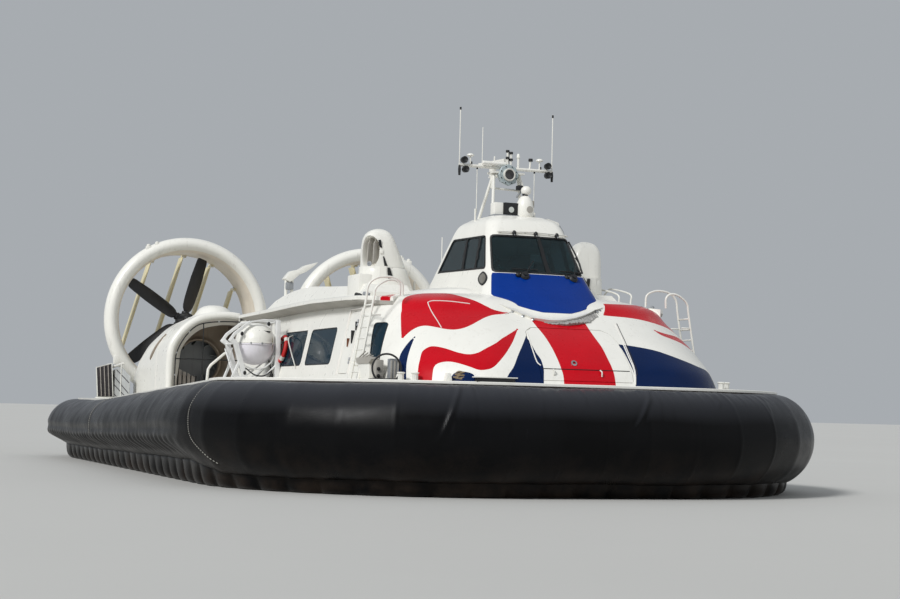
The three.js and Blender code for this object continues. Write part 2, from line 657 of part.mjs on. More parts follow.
// Propeller duct: a ring with a rounded lip, a hub pod on a strut, and lugs for the rudders
const RING = [
  [BORE, 9380], [BORE + 40, 9160], [BORE + 130, 9020], [BORE + 245, DUCT_FRONT], [BORE + 350, 9040],
  [BORE + 405, 9190], [BORE + 370, 9420], [BORE + 220, 9850], [BORE + 70, DUCT_BACK], [BORE, DUCT_BACK],
];
const ring = new THREE.LatheGeometry([...RING, RING[0]].map(([r, y]) => new THREE.Vector2(r, y)), 40);
orient(ring);
const hubPod = bar([0, 8900, 0], [0, 9480, 0], 190, 16);
const strut = frontPrism([[-150, -2300], [150, -2300], [75, 0], [-75, 0]], 8960, 9400);
const lugParts = [];
const rudders = [];
for (const [i, offset] of RUDDER_OFFSETS.entries()) {
  const along = Math.sin(RUDDER_CANT);
  const root = Math.sqrt(RUDDER_REACH ** 2 - (offset * Math.cos(RUDDER_CANT)) ** 2);
  const middle = -offset * along;
  rudders.push({
    name: `rudder_${i + 1}`, x: offset + middle * along, z: middle * Math.cos(RUDDER_CANT), half: root });
  for (const end of [-1, 1]) {
    const lug = new THREE.BoxGeometry(70, RUDDER_Y + 60 - DUCT_BACK + 120, 60);
    lug.translate(0, (RUDDER_Y + 60 + DUCT_BACK - 120) / 2, end * (root + 30));
    lugParts.push(lug.rotateY(RUDDER_CANT).translate(rudders[i].x, 0, rudders[i].z));
  }
}
const ductLocal = join(ring, hubPod, strut, ...lugParts).translate(-DUCT_X, 0, DUCT_Z);
pair('duct', cut(ductLocal, belowDeck), WHITE);

// Five twisted blades on a spinner, turning about the fore and aft axis
const spinner = new THREE.LatheGeometry([
  [0, 150], [200, 150], [215, 60], [215, -60], [190, -110], [0, -110],
].map(([r, y]) => new THREE.Vector2(r, y)), 16);
orient(spinner);
function blade() {
  const span = PROP_TIP - 150;
  const geometry = new THREE.BoxGeometry(1, 1, span, 2, 1, 4);
  const position = geometry.attributes.position;
  for (let i = 0; i < position.count; i += 1) {
    const along = position.getZ(i) / span + 0.5;
    const chord = 210 + 130 * Math.sin(Math.PI * Math.min(along * 1.15, 1) ** 0.8);
    const thick = 70 - 50 * along;
    const twist = THREE.MathUtils.degToRad(62 - 40 * along);
    const x = position.getX(i) * chord;
    const y = position.getY(i) * thick * (Math.abs(position.getX(i)) > 0.4 ? 0.35 : 1);
    position.setXYZ(i, x * Math.cos(twist) - y * Math.sin(twist),
      x * Math.sin(twist) + y * Math.cos(twist), 150 + along * span);
  }
  return geometry;
}
const blades = [];
for (let i = 0; i < PROP_BLADES; i += 1) {
  blades.push(blade().rotateY(THREE.MathUtils.degToRad(16 - (360 * i) / PROP_BLADES)));
}
const podEnd = 9480 + GAP - PROP_Y;
const hubBack = bar([0, podEnd, 0], [0, -100, 0], 120, 16);
const propeller = join(spinner, hubBack, ...blades);

// One rudder, standing on its own canted axis, with a boss at each end
function rudderShape(half) {
  const blank = planPrism([
    [-8, 380], [-30, 120], [-34, 0], [-26, -80], [0, -120], [26, -80], [34, 0], [30, 120], [8, 380],
  ], -half + 10, half - 10);
  return join(blank, bar([0, 0, -half + GAP], [0, 0, half - GAP], 26, 12));
}
for (const [side, s] of [['starboard', -1], ['port', 1]]) {
  const turned = s < 0 ? propeller : mirrored(propeller).rotateY(THREE.MathUtils.degToRad(PORT_PROP_TURN));
  piece(`propeller_${side}`, turned, DARK, { position: [s * DUCT_X, PROP_Y, DUCT_Z] });
  for (const { name, x, z, half } of rudders) {
    piece(`${name}_${side}`, rudderShape(half), CREAM, {
      position: [s * (DUCT_X - x), RUDDER_Y, DUCT_Z + z], rotation: [0, -s * RUDDER_CANT, 0] });
  }
}

// Liferaft pod in its cradle on the side deck
const podShape = (grow) => new THREE.SphereGeometry(1, 16, 10)
  .scale(POD.rx + grow, POD.ry + grow, POD.rz + grow).translate(-POD.x, POD.y, POD.z);
const cradleParts = [];
for (const y of [POD.y - 330, POD.y + 330]) {
  cradleParts.push(box(-POD.x - 430, -POD.x + 430, y - 30, y + 30, 1650, 2420));
  cradleParts.push(box(-POD.x + 390, -POD.x + 440, y - 30, y + 30, 1650, 3080));
  cradleParts.push(box(-POD.x - 440, -POD.x - 390, y - 30, y + 30, 1650, 2700));
}
cradleParts.push(box(-POD.x + 390, -POD.x + 440, POD.y - 360, POD.y + 360, 3040, 3090));
cradleParts.push(box(-POD.x - 440, -POD.x - 390, POD.y - 360, POD.y + 360, 2660, 2710));
cradleParts.push(box(-POD.x - 440, -POD.x + 440, POD.y - 360, POD.y + 360, 1650, 1830));
const cradleHoles = [box(-POD.x - 330, -POD.x + 330, POD.y - 500, POD.y + 500, 1880, 2120)];
pair('liferaft_pod', podShape(0), WHITE);
pair('liferaft_cradle', cut(join(...cradleParts), podShape(GAP), ...cradleHoles, belowDeck), GREY);

// Louvred box on the stern quarter
const grilleBody = common(
  box(-5000, -4620, 8450, 9250, 1400, 2400),
  sidePrism([[8450, 1400], [9250, 1400], [9250, 2330], [8450, 2230]], -5200, -4600));
const louvres = [];
for (let i = 0; i < 4; i += 1) {
  louvres.push(box(-5100, -4940, 8520 + i * 180, 8630 + i * 180, 1640, 2150));
  louvres.push(box(-4960 + i * 82, -4910 + i * 82, 8400, 8510, 1640, 2150));
}
pair('stern_grille', cut(grilleBody, ...louvres, belowDeck), WHITE);

// Boarding ladder on the cabin side, leaning with the wall, its rails hooked over the roof edge
const LADDER = { back: -7520, front: -7940, first: 2080, pitch: 200, rungs: 7 };
const ladderX = (z) => -3400 + (z - DECK_Z) * 0.2;
const ladderParts = [];
for (const y of [LADDER.back, LADDER.front]) {
  const top = [ladderX(3420), y, 3420];
  ladderParts.push(bar([ladderX(DECK_Z) - 5, y, DECK_Z - 10], top, 20, 8));
  const hook = [top, [-3020, y, 3600], [-2850, y, 3690], [-2500, y, 3660], [-2200, y, 3340]];
  ladderParts.push(tube(hook, 20, 8));
}
for (let i = 0; i < LADDER.rungs; i += 1) {
  const z = LADDER.first + i * LADDER.pitch;
  ladderParts.push(bar([ladderX(z), LADDER.back, z], [ladderX(z), LADDER.front, z], 14, 6));
}
pair('ladder', cut(join(...ladderParts), belowDeck, bodyTop, gutterTop), STEEL);

// Mast: two A legs, a yard, whip aerials, and a bracket aft of the yard for the radar scanner
const SCANNER = { x: -20, y: -5700, z: 6200, half: 450 };
const mastParts = [
  bar([-YARD_HALF, MAST_Y, YARD_Z], [YARD_HALF, MAST_Y, YARD_Z], 32),
  bar([-240, MAST_Y, 6010], [270, MAST_Y, 6010], 32),
  box(-330, 330, MAST_Y - 150, MAST_Y + 150, 6000, 6030),
  box(SCANNER.x - 60, SCANNER.x + 60, MAST_Y + 100, SCANNER.y + 70, 6000, 6030),
  bar([SCANNER.x, SCANNER.y, 6020], [SCANNER.x, SCANNER.y, SCANNER.z], 70, 12),
  bar([40, MAST_Y, 6020], [40, MAST_Y, 6420], 28),
];
for (const s of [-1, 1]) {
  mastParts.push(bar([s * 460, -6780, 5000], [s * 250, MAST_Y, 6030], 30));
  mastParts.push(bar([s * 480, -6050, 5000], [s * 250, MAST_Y, 6030], 30));
  mastParts.push(bar([s * 970, MAST_Y, 6100], [s * 970, MAST_Y, 7240], 11, 8));
  mastParts.push(bar([s * 600, MAST_Y, 6100], [s * 600, MAST_Y, 5230], 9, 8));
}
mastParts.push(bar([-500, MAST_Y, 6100], [-500, MAST_Y, 6880], 9, 8));
const cabRoofTop = cabLoft(0, 0).translate(0, 0, GAP);
piece('mast', cut(join(...mastParts), cabRoofTop), WHITE);
piece('radar_scanner', join(
  bar([0, 0, 0], [0, 0, 60], 60, 12),
  box(-50, 50, -SCANNER.half, SCANNER.half, 40, 130).rotateZ(0.19)), WHITE,
{ position: [SCANNER.x, SCANNER.y, SCANNER.z + GAP] });
const lampPost = bar([0, -6950, 4900], [0, -6950, 5180], 60, 12);
const dome = new THREE.SphereGeometry(110, 12, 8).translate(0, -6950, 5600);
const domeNeck = bar([0, -6950, 5150], [0, -6950, 5520], 140, 12);
piece('searchlight', cut(
  join(lampPost, domeNeck, dome).translate(150, 0, 0), cabRoofTop), WHITE);

export default craft;
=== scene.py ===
"""Looks of the passenger hovercraft, built around its CAD frame. Metres, bow towards -Y, +Z up."""

import math

import bmesh
import bpy
import numpy as np
from mathutils import Matrix, Vector


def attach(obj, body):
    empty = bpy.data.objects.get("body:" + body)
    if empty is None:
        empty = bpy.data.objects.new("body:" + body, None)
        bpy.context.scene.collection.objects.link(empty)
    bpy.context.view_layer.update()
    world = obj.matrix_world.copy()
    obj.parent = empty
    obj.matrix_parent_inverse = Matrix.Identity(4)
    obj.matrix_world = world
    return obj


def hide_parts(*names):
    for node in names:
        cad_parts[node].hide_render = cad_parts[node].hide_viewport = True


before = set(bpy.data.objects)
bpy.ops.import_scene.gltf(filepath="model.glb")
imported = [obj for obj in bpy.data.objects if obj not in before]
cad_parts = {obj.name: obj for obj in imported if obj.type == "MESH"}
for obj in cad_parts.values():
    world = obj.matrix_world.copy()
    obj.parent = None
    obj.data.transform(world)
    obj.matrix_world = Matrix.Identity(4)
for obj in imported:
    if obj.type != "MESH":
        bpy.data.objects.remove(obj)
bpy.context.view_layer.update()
SIDES = (("starboard", -1), ("port", 1))
RNG = np.random.default_rng(7)


# Materials
def nodes_of(name):
    material = bpy.data.materials.new(name)
    material.use_nodes = True
    tree = material.node_tree
    return material, tree, tree.nodes["Principled BSDF"]


def link(tree, a, b):
    tree.links.new(a, b)


def coordinates(tree, stretch=(1, 1, 1)):
    source = tree.nodes.new("ShaderNodeTexCoord")
    mapping = tree.nodes.new("ShaderNodeMapping")
    mapping.inputs["Scale"].default_value = stretch
    link(tree, source.outputs["Object"], mapping.inputs["Vector"])
    return mapping.outputs["Vector"]


def noise(tree, vector, scale, detail=4.0, rough=0.55):
    node = tree.nodes.new("ShaderNodeTexNoise")
    node.inputs["Scale"].default_value = scale
    node.inputs["Detail"].default_value = detail
    node.inputs["Roughness"].default_value = rough
    link(tree, vector, node.inputs["Vector"])
    return node.outputs["Fac"]


def span(tree, value, low, high, to_low=0.0, to_high=1.0):
    node = tree.nodes.new("ShaderNodeMapRange")
    for i, x in enumerate((low, high, to_low, to_high)):
        node.inputs[i + 1].default_value = x
    link(tree, value, node.inputs["Value"])
    return node.outputs["Result"]


def mix(tree, factor, a, b):
    node = tree.nodes.new("ShaderNodeMix")
    node.data_type = "RGBA"
    for socket, x in ((node.inputs[0], factor), (node.inputs[6], a), (node.inputs[7], b)):
        if isinstance(x, (int, float, tuple)):
            socket.default_value = x
        else:
            link(tree, x, socket)
    return node.outputs[2]


def bump_from(tree, height, strength, distance, shader):
    node = tree.nodes.new("ShaderNodeBump")
    node.inputs["Strength"].default_value = strength
    node.inputs["Distance"].default_value = distance
    link(tree, height, node.inputs["Height"])
    link(tree, node.outputs["Normal"], shader.inputs["Normal"])


def linear(r, g, b):
    """sRGB 0 to 255 as a linear colour."""
    def one(c):
        c /= 255
        return c / 12.92 if c <= 0.04045 else ((c + 0.055) / 1.055) ** 2.4
    return (one(r), one(g), one(b), 1.0)


def shade(colour, k):
    return (colour[0] * k, colour[1] * k, colour[2] * k, 1.0)


def finish(name, colour, rough=0.4, metal=0.0, coat=0.0, dark=0.82, patch=1.3, grime=None,
           streak=0.35, grain=60.0, bump=0.15, depth=0.004, rough_spread=0.12, mirror_level=0.5):
    """Painted, moulded or metal surface: patches of tone, streaks of dirt, uneven gloss and a fine grain."""
    material, tree, shader = nodes_of(name)
    plain = coordinates(tree)
    tone = span(tree, noise(tree, plain, patch, 5), 0.3, 0.72)
    base = mix(tree, tone, shade(colour, dark), colour)
    if grime:
        run = noise(tree, coordinates(tree, (5.0, 5.0, 0.55)), 2.2, 6, 0.65)
        base = mix(tree, span(tree, run, 0.56, 0.82, 0.0, streak), base, grime)
    link(tree, base, shader.inputs["Base Color"])
    gloss = noise(tree, plain, patch * 5, 4)
    link(tree, span(tree, gloss, 0.3, 0.7, rough - rough_spread / 2, rough + rough_spread / 2),
         shader.inputs["Roughness"])
    shader.inputs["Metallic"].default_value = metal
    shader.inputs["Coat Weight"].default_value = coat
    shader.inputs["Specular IOR Level"].default_value = mirror_level
    shader.inputs["Coat Roughness"].default_value = 0.08
    bump_from(tree, noise(tree, plain, grain, 3), bump, depth, shader)
    return material


WHITE_COLOUR = linear(240, 238, 230)
GRIME = linear(150, 140, 122)
WHITE = finish("white_paint", WHITE_COLOUR, 0.32, coat=0.25, dark=0.93, grime=GRIME, streak=0.22, bump=0.08)
HULL_WHITE = finish("deck_paint", linear(226, 225, 218), 0.5, dark=0.86, grime=GRIME, streak=0.5, bump=0.3)
RED = finish("livery_red", linear(198, 2, 24), 0.3, coat=0.1, dark=0.86, grime=linear(120, 10, 20),
             streak=0.2, mirror_level=0.15)
NAVY = finish("livery_navy", linear(2, 30, 74), 0.3, coat=0.04, dark=0.8, grime=linear(8, 24, 50),
              streak=0.25, mirror_level=0.12)
BLUE = finish("cab_blue", linear(0, 50, 136), 0.3, coat=0.1, dark=0.85, grime=linear(6, 36, 84), streak=0.2,
              mirror_level=0.12)
CREAM = finish("rudder_cream", linear(226, 215, 176), 0.5, dark=0.88, grime=GRIME, streak=0.3)
GREY = finish("grey_paint", linear(150, 153, 156), 0.5, dark=0.82, grime=linear(90, 84, 74), streak=0.35)
ALLOY = finish("bare_alloy", linear(196, 198, 200), 0.36, 1.0, dark=0.8, patch=4, bump=0.1)
PIPE = finish("white_pipe", linear(236, 234, 226), 0.36, dark=0.88, patch=5, grime=GRIME, streak=0.3)
DARK = finish("dark_trim", linear(26, 27, 29), 0.5, dark=0.6, patch=4)
SEAL = finish("seal_rubber", linear(18, 18, 20), 0.62, dark=0.6, patch=6)
BLADE = finish("blade_composite", linear(24, 24, 26), 0.42, dark=0.6, patch=3, grime=linear(70, 66, 60),
               streak=0.2)
IRON = finish("engine_iron", linear(96, 98, 98), 0.6, 0.4, dark=0.7, patch=3)
# Brown-grey of the intake's inside: partly the lining's own colour and partly painted shade, with streaks of
# dirt. The same colour stands as painted shade in the flank slot and on the cab ceiling.
SHADOW_GREY = finish("shadow_grey_lining", linear(156, 142, 126), 0.7, dark=0.66, patch=2.2,
                     grime=linear(58, 50, 42), streak=0.6)
BUOY_RED = finish("lifebuoy_red", linear(196, 22, 20), 0.6, dark=0.7, patch=8)
LENS = finish("lamp_lens", linear(206, 210, 204), 0.15, dark=0.8, patch=12, coat=0.5)


def tinted(name, colour, through=0.5, rough=0.04):
    """Dark glass that lets a little of the inside through, with faint smears."""
    material, tree, shader = nodes_of(name)
    plain = coordinates(tree)
    smear = span(tree, noise(tree, plain, 0.9, 3), 0.3, 0.7)
    link(tree, mix(tree, smear, shade(colour, 0.7), colour), shader.inputs["Base Color"])
    gloss = span(tree, noise(tree, plain, 6, 4), 0.35, 0.75, rough, rough + 0.05)
    link(tree, gloss, shader.inputs["Roughness"])
    shader.inputs["Transmission Weight"].default_value = through
    shader.inputs["IOR"].default_value = 1.22
    shader.inputs["Specular IOR Level"].default_value = 0.22
    return material


GLASS = tinted("window_tint", linear(20, 46, 60), 0.1)
SCREEN = tinted("screen_tint", linear(104, 128, 134), 0.9)


# Camera
LENS_MM, SENSOR_MM, VIEW_END = 70, 36, 600
EYE = (-13.24, -37.14, 1.48)
YAW, PITCH, ROLL = (math.radians(v) for v in (-21.5, 93.55, 1.38))


def new_object(name, data):
    thing = bpy.data.objects.new(name, data)
    bpy.context.scene.collection.objects.link(thing)
    return thing


def add_camera():
    data = bpy.data.cameras.new("camera")
    data.lens = LENS_MM
    data.sensor_width = SENSOR_MM
    data.clip_end = VIEW_END
    cam = new_object("camera", data)
    turn = Matrix.Rotation(YAW, 4, "Z") @ Matrix.Rotation(PITCH, 4, "X") @ Matrix.Rotation(ROLL, 4, "Z")
    cam.matrix_world = Matrix.Translation(EYE) @ turn
    bpy.context.scene.camera = cam


add_camera()


# Shapes
UP, AFT = (0, 0, 1), (0, 1, 0)


def turns(count):
    """Angles evenly spaced round a circle."""
    return np.linspace(0, 2 * math.pi, count, endpoint=False)


def bend(v, power):
    """Power that keeps the sign; a power under 1 of sine and cosine makes a circle boxier."""
    return math.copysign(abs(v) ** power, v)


def cubic(points, closed=False, steps=6):
    """Smooth curve through the points (uniform Catmull-Rom)."""
    pts = [Vector(p) for p in points]
    n = len(pts)
    if n < 3:
        return pts
    out = []
    for i in range(n if closed else n - 1):
        p1, p2 = pts[i], pts[(i + 1) % n]
        p0 = pts[i - 1] if closed or i > 0 else 2 * p1 - p2
        p3 = pts[(i + 2) % n] if closed or i < n - 2 else 2 * p2 - p1
        for k in range(steps):
            t = k / steps
            out.append(0.5 * (2 * p1 + (p2 - p0) * t + (2 * p0 - 5 * p1 + 4 * p2 - p3) * t * t
                              + (3 * p1 - p0 - 3 * p2 + p3) * t ** 3))
    if not closed:
        out.append(pts[-1])
    return out


def outline(points, steps=5):
    """Closed outline, smooth except at points that carry a third value, which are corners."""
    corners = [i for i, p in enumerate(points) if len(p) > 2]
    flat = [Vector((p[0], p[1], 0)) for p in points]
    if not corners:
        return [(p.x, p.y) for p in cubic(flat, True, steps)]
    out = []
    for k, start in enumerate(corners):
        end = corners[(k + 1) % len(corners)]
        if end <= start:
            end += len(points)
        run = cubic([flat[i % len(points)] for i in range(start, end + 1)], False, steps)
        out += [(p.x, p.y) for p in run[:-1]]
    return out


def ring_points(centre, radius, sides, u, v, start=0.0):
    centre, u, v = Vector(centre), Vector(u), Vector(v)
    return [centre + radius * (math.cos(a) * u + math.sin(a) * v)
            for a in (start + 2 * math.pi * i / sides for i in range(sides))]


def loft(rings, caps=True, closed=False):
    """Skin over rings of equal count."""
    verts = [Vector(p) for ring in rings for p in ring]
    n, m = len(rings[0]), len(rings)
    faces = []
    for i in range(m if closed else m - 1):
        a, b = i * n, ((i + 1) % m) * n
        faces += [(a + k, a + (k + 1) % n, b + (k + 1) % n, b + k) for k in range(n)]
    if caps and not closed:
        faces.append(tuple(range(n))[::-1])
        faces.append(tuple(range((m - 1) * n, m * n)))
    return verts, faces


def tube(points, radius, sides=10, closed=False, smooth=0):
    """Round bar along the points; radius may be a list."""
    pts = cubic(points, closed, smooth) if smooth else [Vector(p) for p in points]
    n = len(pts)
    radii = radius if isinstance(radius, (list, tuple)) else [radius] * n
    if len(radii) != n:
        radii = [radii[min(int(i * len(radii) / n), len(radii) - 1)] for i in range(n)]
    tangents = []
    for i in range(n):
        a = pts[i - 1] if closed or i > 0 else pts[i]
        b = pts[(i + 1) % n] if closed or i < n - 1 else pts[i]
        tangents.append((b - a).normalized())
    side = tangents[0].orthogonal().normalized()
    rings = []
    for p, t, r in zip(pts, tangents, radii):
        side = (side - side.dot(t) * t).normalized()
        rings.append(ring_points(p, r, sides, side, t.cross(side)))
    return loft(rings, closed=closed)


def bar(a, b, radius, sides=14, end=None):
    """Straight round bar with slightly rounded ends; end gives a second radius."""
    a, b = Vector(a), Vector(b)
    t = (b - a).normalized()
    u = t.orthogonal().normalized()
    v = t.cross(u)
    end = radius if end is None else end
    chamfer = min(0.25 * min(radius, end), 0.25 * (b - a).length)
    steps = [(a, radius - chamfer), (a + t * chamfer, radius), (b - t * chamfer, end), (b, end - chamfer)]
    return loft([ring_points(p, r, sides, u, v) for p, r in steps])


def lathe(profile, centre, axis=AFT, segments=48, closed=False):
    """Turn [radius, along] points about an axis through centre."""
    axis = Vector(axis).normalized()
    u = axis.orthogonal().normalized()
    v = axis.cross(u)
    centre = Vector(centre)
    rings = []
    for i in range(segments):
        a = 2 * math.pi * i / segments
        out = math.cos(a) * u + math.sin(a) * v
        rings.append([centre + r * out + h * axis for r, h in profile])
    n = len(profile)
    verts = [p for ring in rings for p in ring]
    faces = []
    for i in range(segments):
        a, b = i * n, ((i + 1) % segments) * n
        for k in range(n if closed else n - 1):
            faces.append((a + k, b + k, b + (k + 1) % n, a + (k + 1) % n))
    return verts, faces


def from_bmesh(bm):
    bm.verts.index_update()
    verts = [v.co.copy() for v in bm.verts]
    faces = [tuple(v.index for v in f.verts) for f in bm.faces]
    bm.free()
    return verts, faces


def rounded(verts, faces, bevel, segments=2, angle=0.5):
    bm = bmesh.new()
    made = [bm.verts.new(v) for v in verts]
    for f in faces:
        bm.faces.new([made[i] for i in f])
    bmesh.ops.recalc_face_normals(bm, faces=bm.faces)
    if bevel:
        sharp = [e for e in bm.edges if len(e.link_faces) == 2 and e.calc_face_angle(0) > angle]
        bmesh.ops.bevel(bm, geom=sharp, offset=bevel, segments=segments, profile=0.6, affect="EDGES",
                        clamp_overlap=True)
    return from_bmesh(bm)


def turn_outward(mesh):
    """Make all faces look out of the solid."""
    bm = bmesh.new()
    bm.from_mesh(mesh)
    bmesh.ops.recalc_face_normals(bm, faces=bm.faces)
    bm.to_mesh(mesh)
    bm.free()


def all_smooth(mesh):
    mesh.polygons.foreach_set("use_smooth", [True] * len(mesh.polygons))


def box(lo, hi, bevel=0.008, segments=2):
    (x0, y0, z0), (x1, y1, z1) = lo, hi
    verts = [Vector((x, y, z)) for z in (z0, z1) for y in (y0, y1) for x in (x0, x1)]
    faces = [(0, 2, 3, 1), (4, 5, 7, 6), (0, 1, 5, 4), (2, 6, 7, 3), (0, 4, 6, 2), (1, 3, 7, 5)]
    return rounded(verts, faces, bevel, segments)


def prism(points, lo, hi, axis="x", bevel=0.008, segments=2):
    """Outline in the other two coordinates, in order, drawn out along one axis."""
    def at(a, b, c):
        return {"x": (c, a, b), "y": (a, c, b), "z": (a, b, c)}[axis]
    return rounded(*loft([[at(a, b, c) for a, b in points] for c in (lo, hi)]), bevel, segments)


def ball(centre, radii, rings=10, sides=18, power=1.0):
    """Closed rounded form; power under 1 makes it boxier."""
    rx, ry, rz = radii
    cx, cy, cz = centre
    loops = []
    for i in range(1, rings):
        a = math.pi * i / rings - math.pi / 2
        wide, high = bend(math.cos(a), power), bend(math.sin(a), power)
        loops.append([Vector((cx + rx * wide * bend(math.cos(b), power),
                              cy + ry * wide * bend(math.sin(b), power),
                              cz + rz * high)) for b in (2 * math.pi * k / sides for k in range(sides))])
    verts, faces = loft(loops, caps=False)
    low, high = len(verts), len(verts) + 1
    verts += [Vector((cx, cy, cz - rz)), Vector((cx, cy, cz + rz))]
    last = (rings - 2) * sides
    for k in range(sides):
        faces.append((low, (k + 1) % sides, k))
        faces.append((high, last + k, last + (k + 1) % sides))
    return verts, faces


class Piece:
    """One object made of several parts, each with its own material."""

    def __init__(self, name, slot="hull_paint", body="craft", replaces=(), mirror=False, crease=32):
        self.name, self.slot, self.body = name, slot, body
        self.replaces, self.mirror, self.crease = replaces, mirror, crease
        self.verts, self.faces, self.marks, self.materials = [], [], [], []

    def put(self, part, material, matrix=None):
        """Add a part; material may also be a list of one per face, or a function of a face's centre."""
        verts, faces = part
        if matrix is not None:
            verts = [matrix @ Vector(v) for v in verts]
        base = len(self.verts)
        self.verts += [Vector(v) for v in verts]
        self.faces += [tuple(base + i for i in f) for f in faces]
        for k, f in enumerate(faces):
            look = material
            if isinstance(material, list):
                look = material[k]
            elif callable(material):
                look = material(sum((Vector(verts[i]) for i in f), Vector()) / len(f))
            if look not in self.materials:
                self.materials.append(look)
            self.marks.append(self.materials.index(look))

    def done(self):
        mesh = bpy.data.meshes.new(self.name)
        flip = -1 if self.mirror else 1
        mesh.from_pydata([(flip * v.x, v.y, v.z) for v in self.verts], [],
                         [f[::flip] for f in self.faces])
        for material in self.materials:
            mesh.materials.append(material)
        mesh.polygons.foreach_set("material_index", self.marks)
        mesh.update()
        turn_outward(mesh)
        all_smooth(mesh)
        mesh.set_sharp_from_angle(angle=math.radians(self.crease))
        return place(self.name, mesh, self.body, self.replaces)


def place(name, mesh, body, replaces=()):
    thing = new_object(name, mesh)
    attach(thing, body)
    if replaces:
        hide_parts(*replaces)
    return thing


def on_both(*makers):
    """Build the starboard pieces and then their mirror images."""
    for side, s in SIDES:
        for make in makers:
            make(side, s > 0)


# Cabin surface

# Rows: height, half width, nose, corner radius.
BODY = np.array([
    (1.92, 3.290, -10.050, 1.75), (2.20, 3.232, -9.900, 1.75), (2.45, 3.178, -9.660, 1.80),
    (2.70, 3.124, -9.370, 1.85), (2.96, 3.065, -9.000, 1.90), (3.20, 3.000, -8.640, 1.90),
    (3.38, 2.920, -8.430, 1.85), (3.48, 2.760, -8.260, 1.85), (3.55, 2.450, -8.050, 1.80),
    (3.58, 2.050, -7.800, 1.70)])
KNOTS = np.concatenate([[0], np.cumsum(np.hypot(np.diff(BODY[:, 0]), np.diff(BODY[:, 2])))])
FRONT, CORNER, SIDE = 1.54, 1.75, 9.5
BEND_END = FRONT + CORNER * math.pi / 2
CABIN_BACK = 1.2
PANE_THICK, LEAF_THICK, WALL_THICK = 0.008, 0.045, 0.05


def rows_at(rows, knots, t):
    """Rows of a table as a smooth function of t, which is knots at the rows."""
    t = np.clip(np.asarray(t, float), 0, knots[-1])
    i = np.clip(np.searchsorted(knots, t, side="right") - 1, 0, len(knots) - 2)
    h = (knots[i + 1] - knots[i])[..., None]
    s = (t - knots[i])[..., None] / h
    m = np.zeros_like(rows)
    m[1:-1] = (rows[2:] - rows[:-2]) / (knots[2:] - knots[:-2])[:, None]
    m[0] = (rows[1] - rows[0]) / (knots[1] - knots[0])
    m[-1] = (rows[-1] - rows[-2]) / (knots[-1] - knots[-2])
    return ((2 * s ** 3 - 3 * s ** 2 + 1) * rows[i] + (s ** 3 - 2 * s ** 2 + s) * m[i] * h
            + (3 * s ** 2 - 2 * s ** 3) * rows[i + 1] + (s ** 3 - s ** 2) * m[i + 1] * h)


def skin_point(u, t):
    """Point of the cabin at u along its outline (0 on the middle line forward) and t up it."""
    u, t = np.broadcast_arrays(np.asarray(u, float), np.asarray(t, float))
    z, half, nose, rad = np.moveaxis(rows_at(BODY, KNOTS, t), -1, 0)
    a = np.abs(u)
    f = np.clip(a / FRONT, 0, 1)
    angle = np.clip((a - FRONT) / CORNER, 0, math.pi / 2)
    g = np.clip((a - BEND_END) / SIDE, 0, 1)
    x = (half - rad) * f + rad * np.sin(angle)
    y = nose + rad * (1 - np.cos(angle)) + g * (CABIN_BACK - nose - rad)
    y = np.where(g > 0, y, y - 0.09 * (1 - (x / half) ** 2))
    return np.stack([np.sign(u) * x, y, z], -1)


def skin_normal(u, t):
    """Outward direction of the cabin's surface, from points a small step to each side."""
    e = 0.004
    u, t = np.asarray(u, float), np.asarray(t, float)
    top = KNOTS[-1]
    du = skin_point(u + e, t) - skin_point(u - e, t)
    dt = skin_point(u, np.minimum(t + e, top)) - skin_point(u, np.maximum(t - e, 0))
    n = np.cross(du, dt)
    return n / np.maximum(np.linalg.norm(n, axis=-1, keepdims=True), 1e-9)


def shape_field(points, view=None, side=0):
    """Signed distance, positive inside, to an outline in the chart or in a plane view such as (1, 2)."""
    ring = np.array(points)
    nxt = np.roll(ring, -1, 0)
    lo, hi = ring.min(0) - 0.2, ring.max(0) + 0.2

    def field(uv, xyz):
        p = uv if view is None else xyz[:, view]
        value = np.full(len(p), -0.2)
        near = np.all((p > lo) & (p < hi), axis=1)
        if side:
            near &= np.sign(xyz[:, 0]) == side
        q = p[near]
        if len(q):
            best = np.full(len(q), 9.0)
            inside = np.zeros(len(q), bool)
            for a, b in zip(ring, nxt):
                ab = b - a
                w = np.clip(((q - a) @ ab) / max(ab @ ab, 1e-12), 0, 1)
                best = np.minimum(best, np.hypot(*(q - a - w[:, None] * ab).T))
                cross = (a[1] > q[:, 1]) != (b[1] > q[:, 1])
                if ab[1]:
                    inside ^= cross & (q[:, 0] < a[0] + (q[:, 1] - a[1]) * ab[0] / ab[1])
            value[near] = np.where(inside, best, -best)
        return value
    return field


def grown(field, by):
    return lambda uv, xyz: field(uv, xyz) + by


def round_rect(y0, y1, z0, z1, r=0.06, lean=0.0, steps=6):
    """Rounded window outline in side view; lean moves its top forward."""
    points = []
    for cy, cz, start in ((y1 - r, z1 - r, 0), (y0 + r, z1 - r, 90), (y0 + r, z0 + r, 180),
                          (y1 - r, z0 + r, 270)):
        for k in range(steps + 1):
            a = math.radians(start + 90 * k / steps)
            y, z = cy + r * math.cos(a), cz + r * math.sin(a)
            points.append((y - lean * (z - z0), z))
    return points


def chart_round(points, r=0.07):
    """Polygon with its corners rounded."""
    out = []
    n = len(points)
    for i, p in enumerate(points):
        p, a, b = (np.array(q[:2], float) for q in (p, points[i - 1], points[(i + 1) % n]))
        for k in range(5):
            w = k / 4
            start = p + (a - p) * min(r / max(np.hypot(*(a - p)), 1e-6), 0.45)
            end = p + (b - p) * min(r / max(np.hypot(*(b - p)), 1e-6), 0.45)
            out.append(tuple((1 - w) ** 2 * start + 2 * w * (1 - w) * p + w * w * end))
    return out


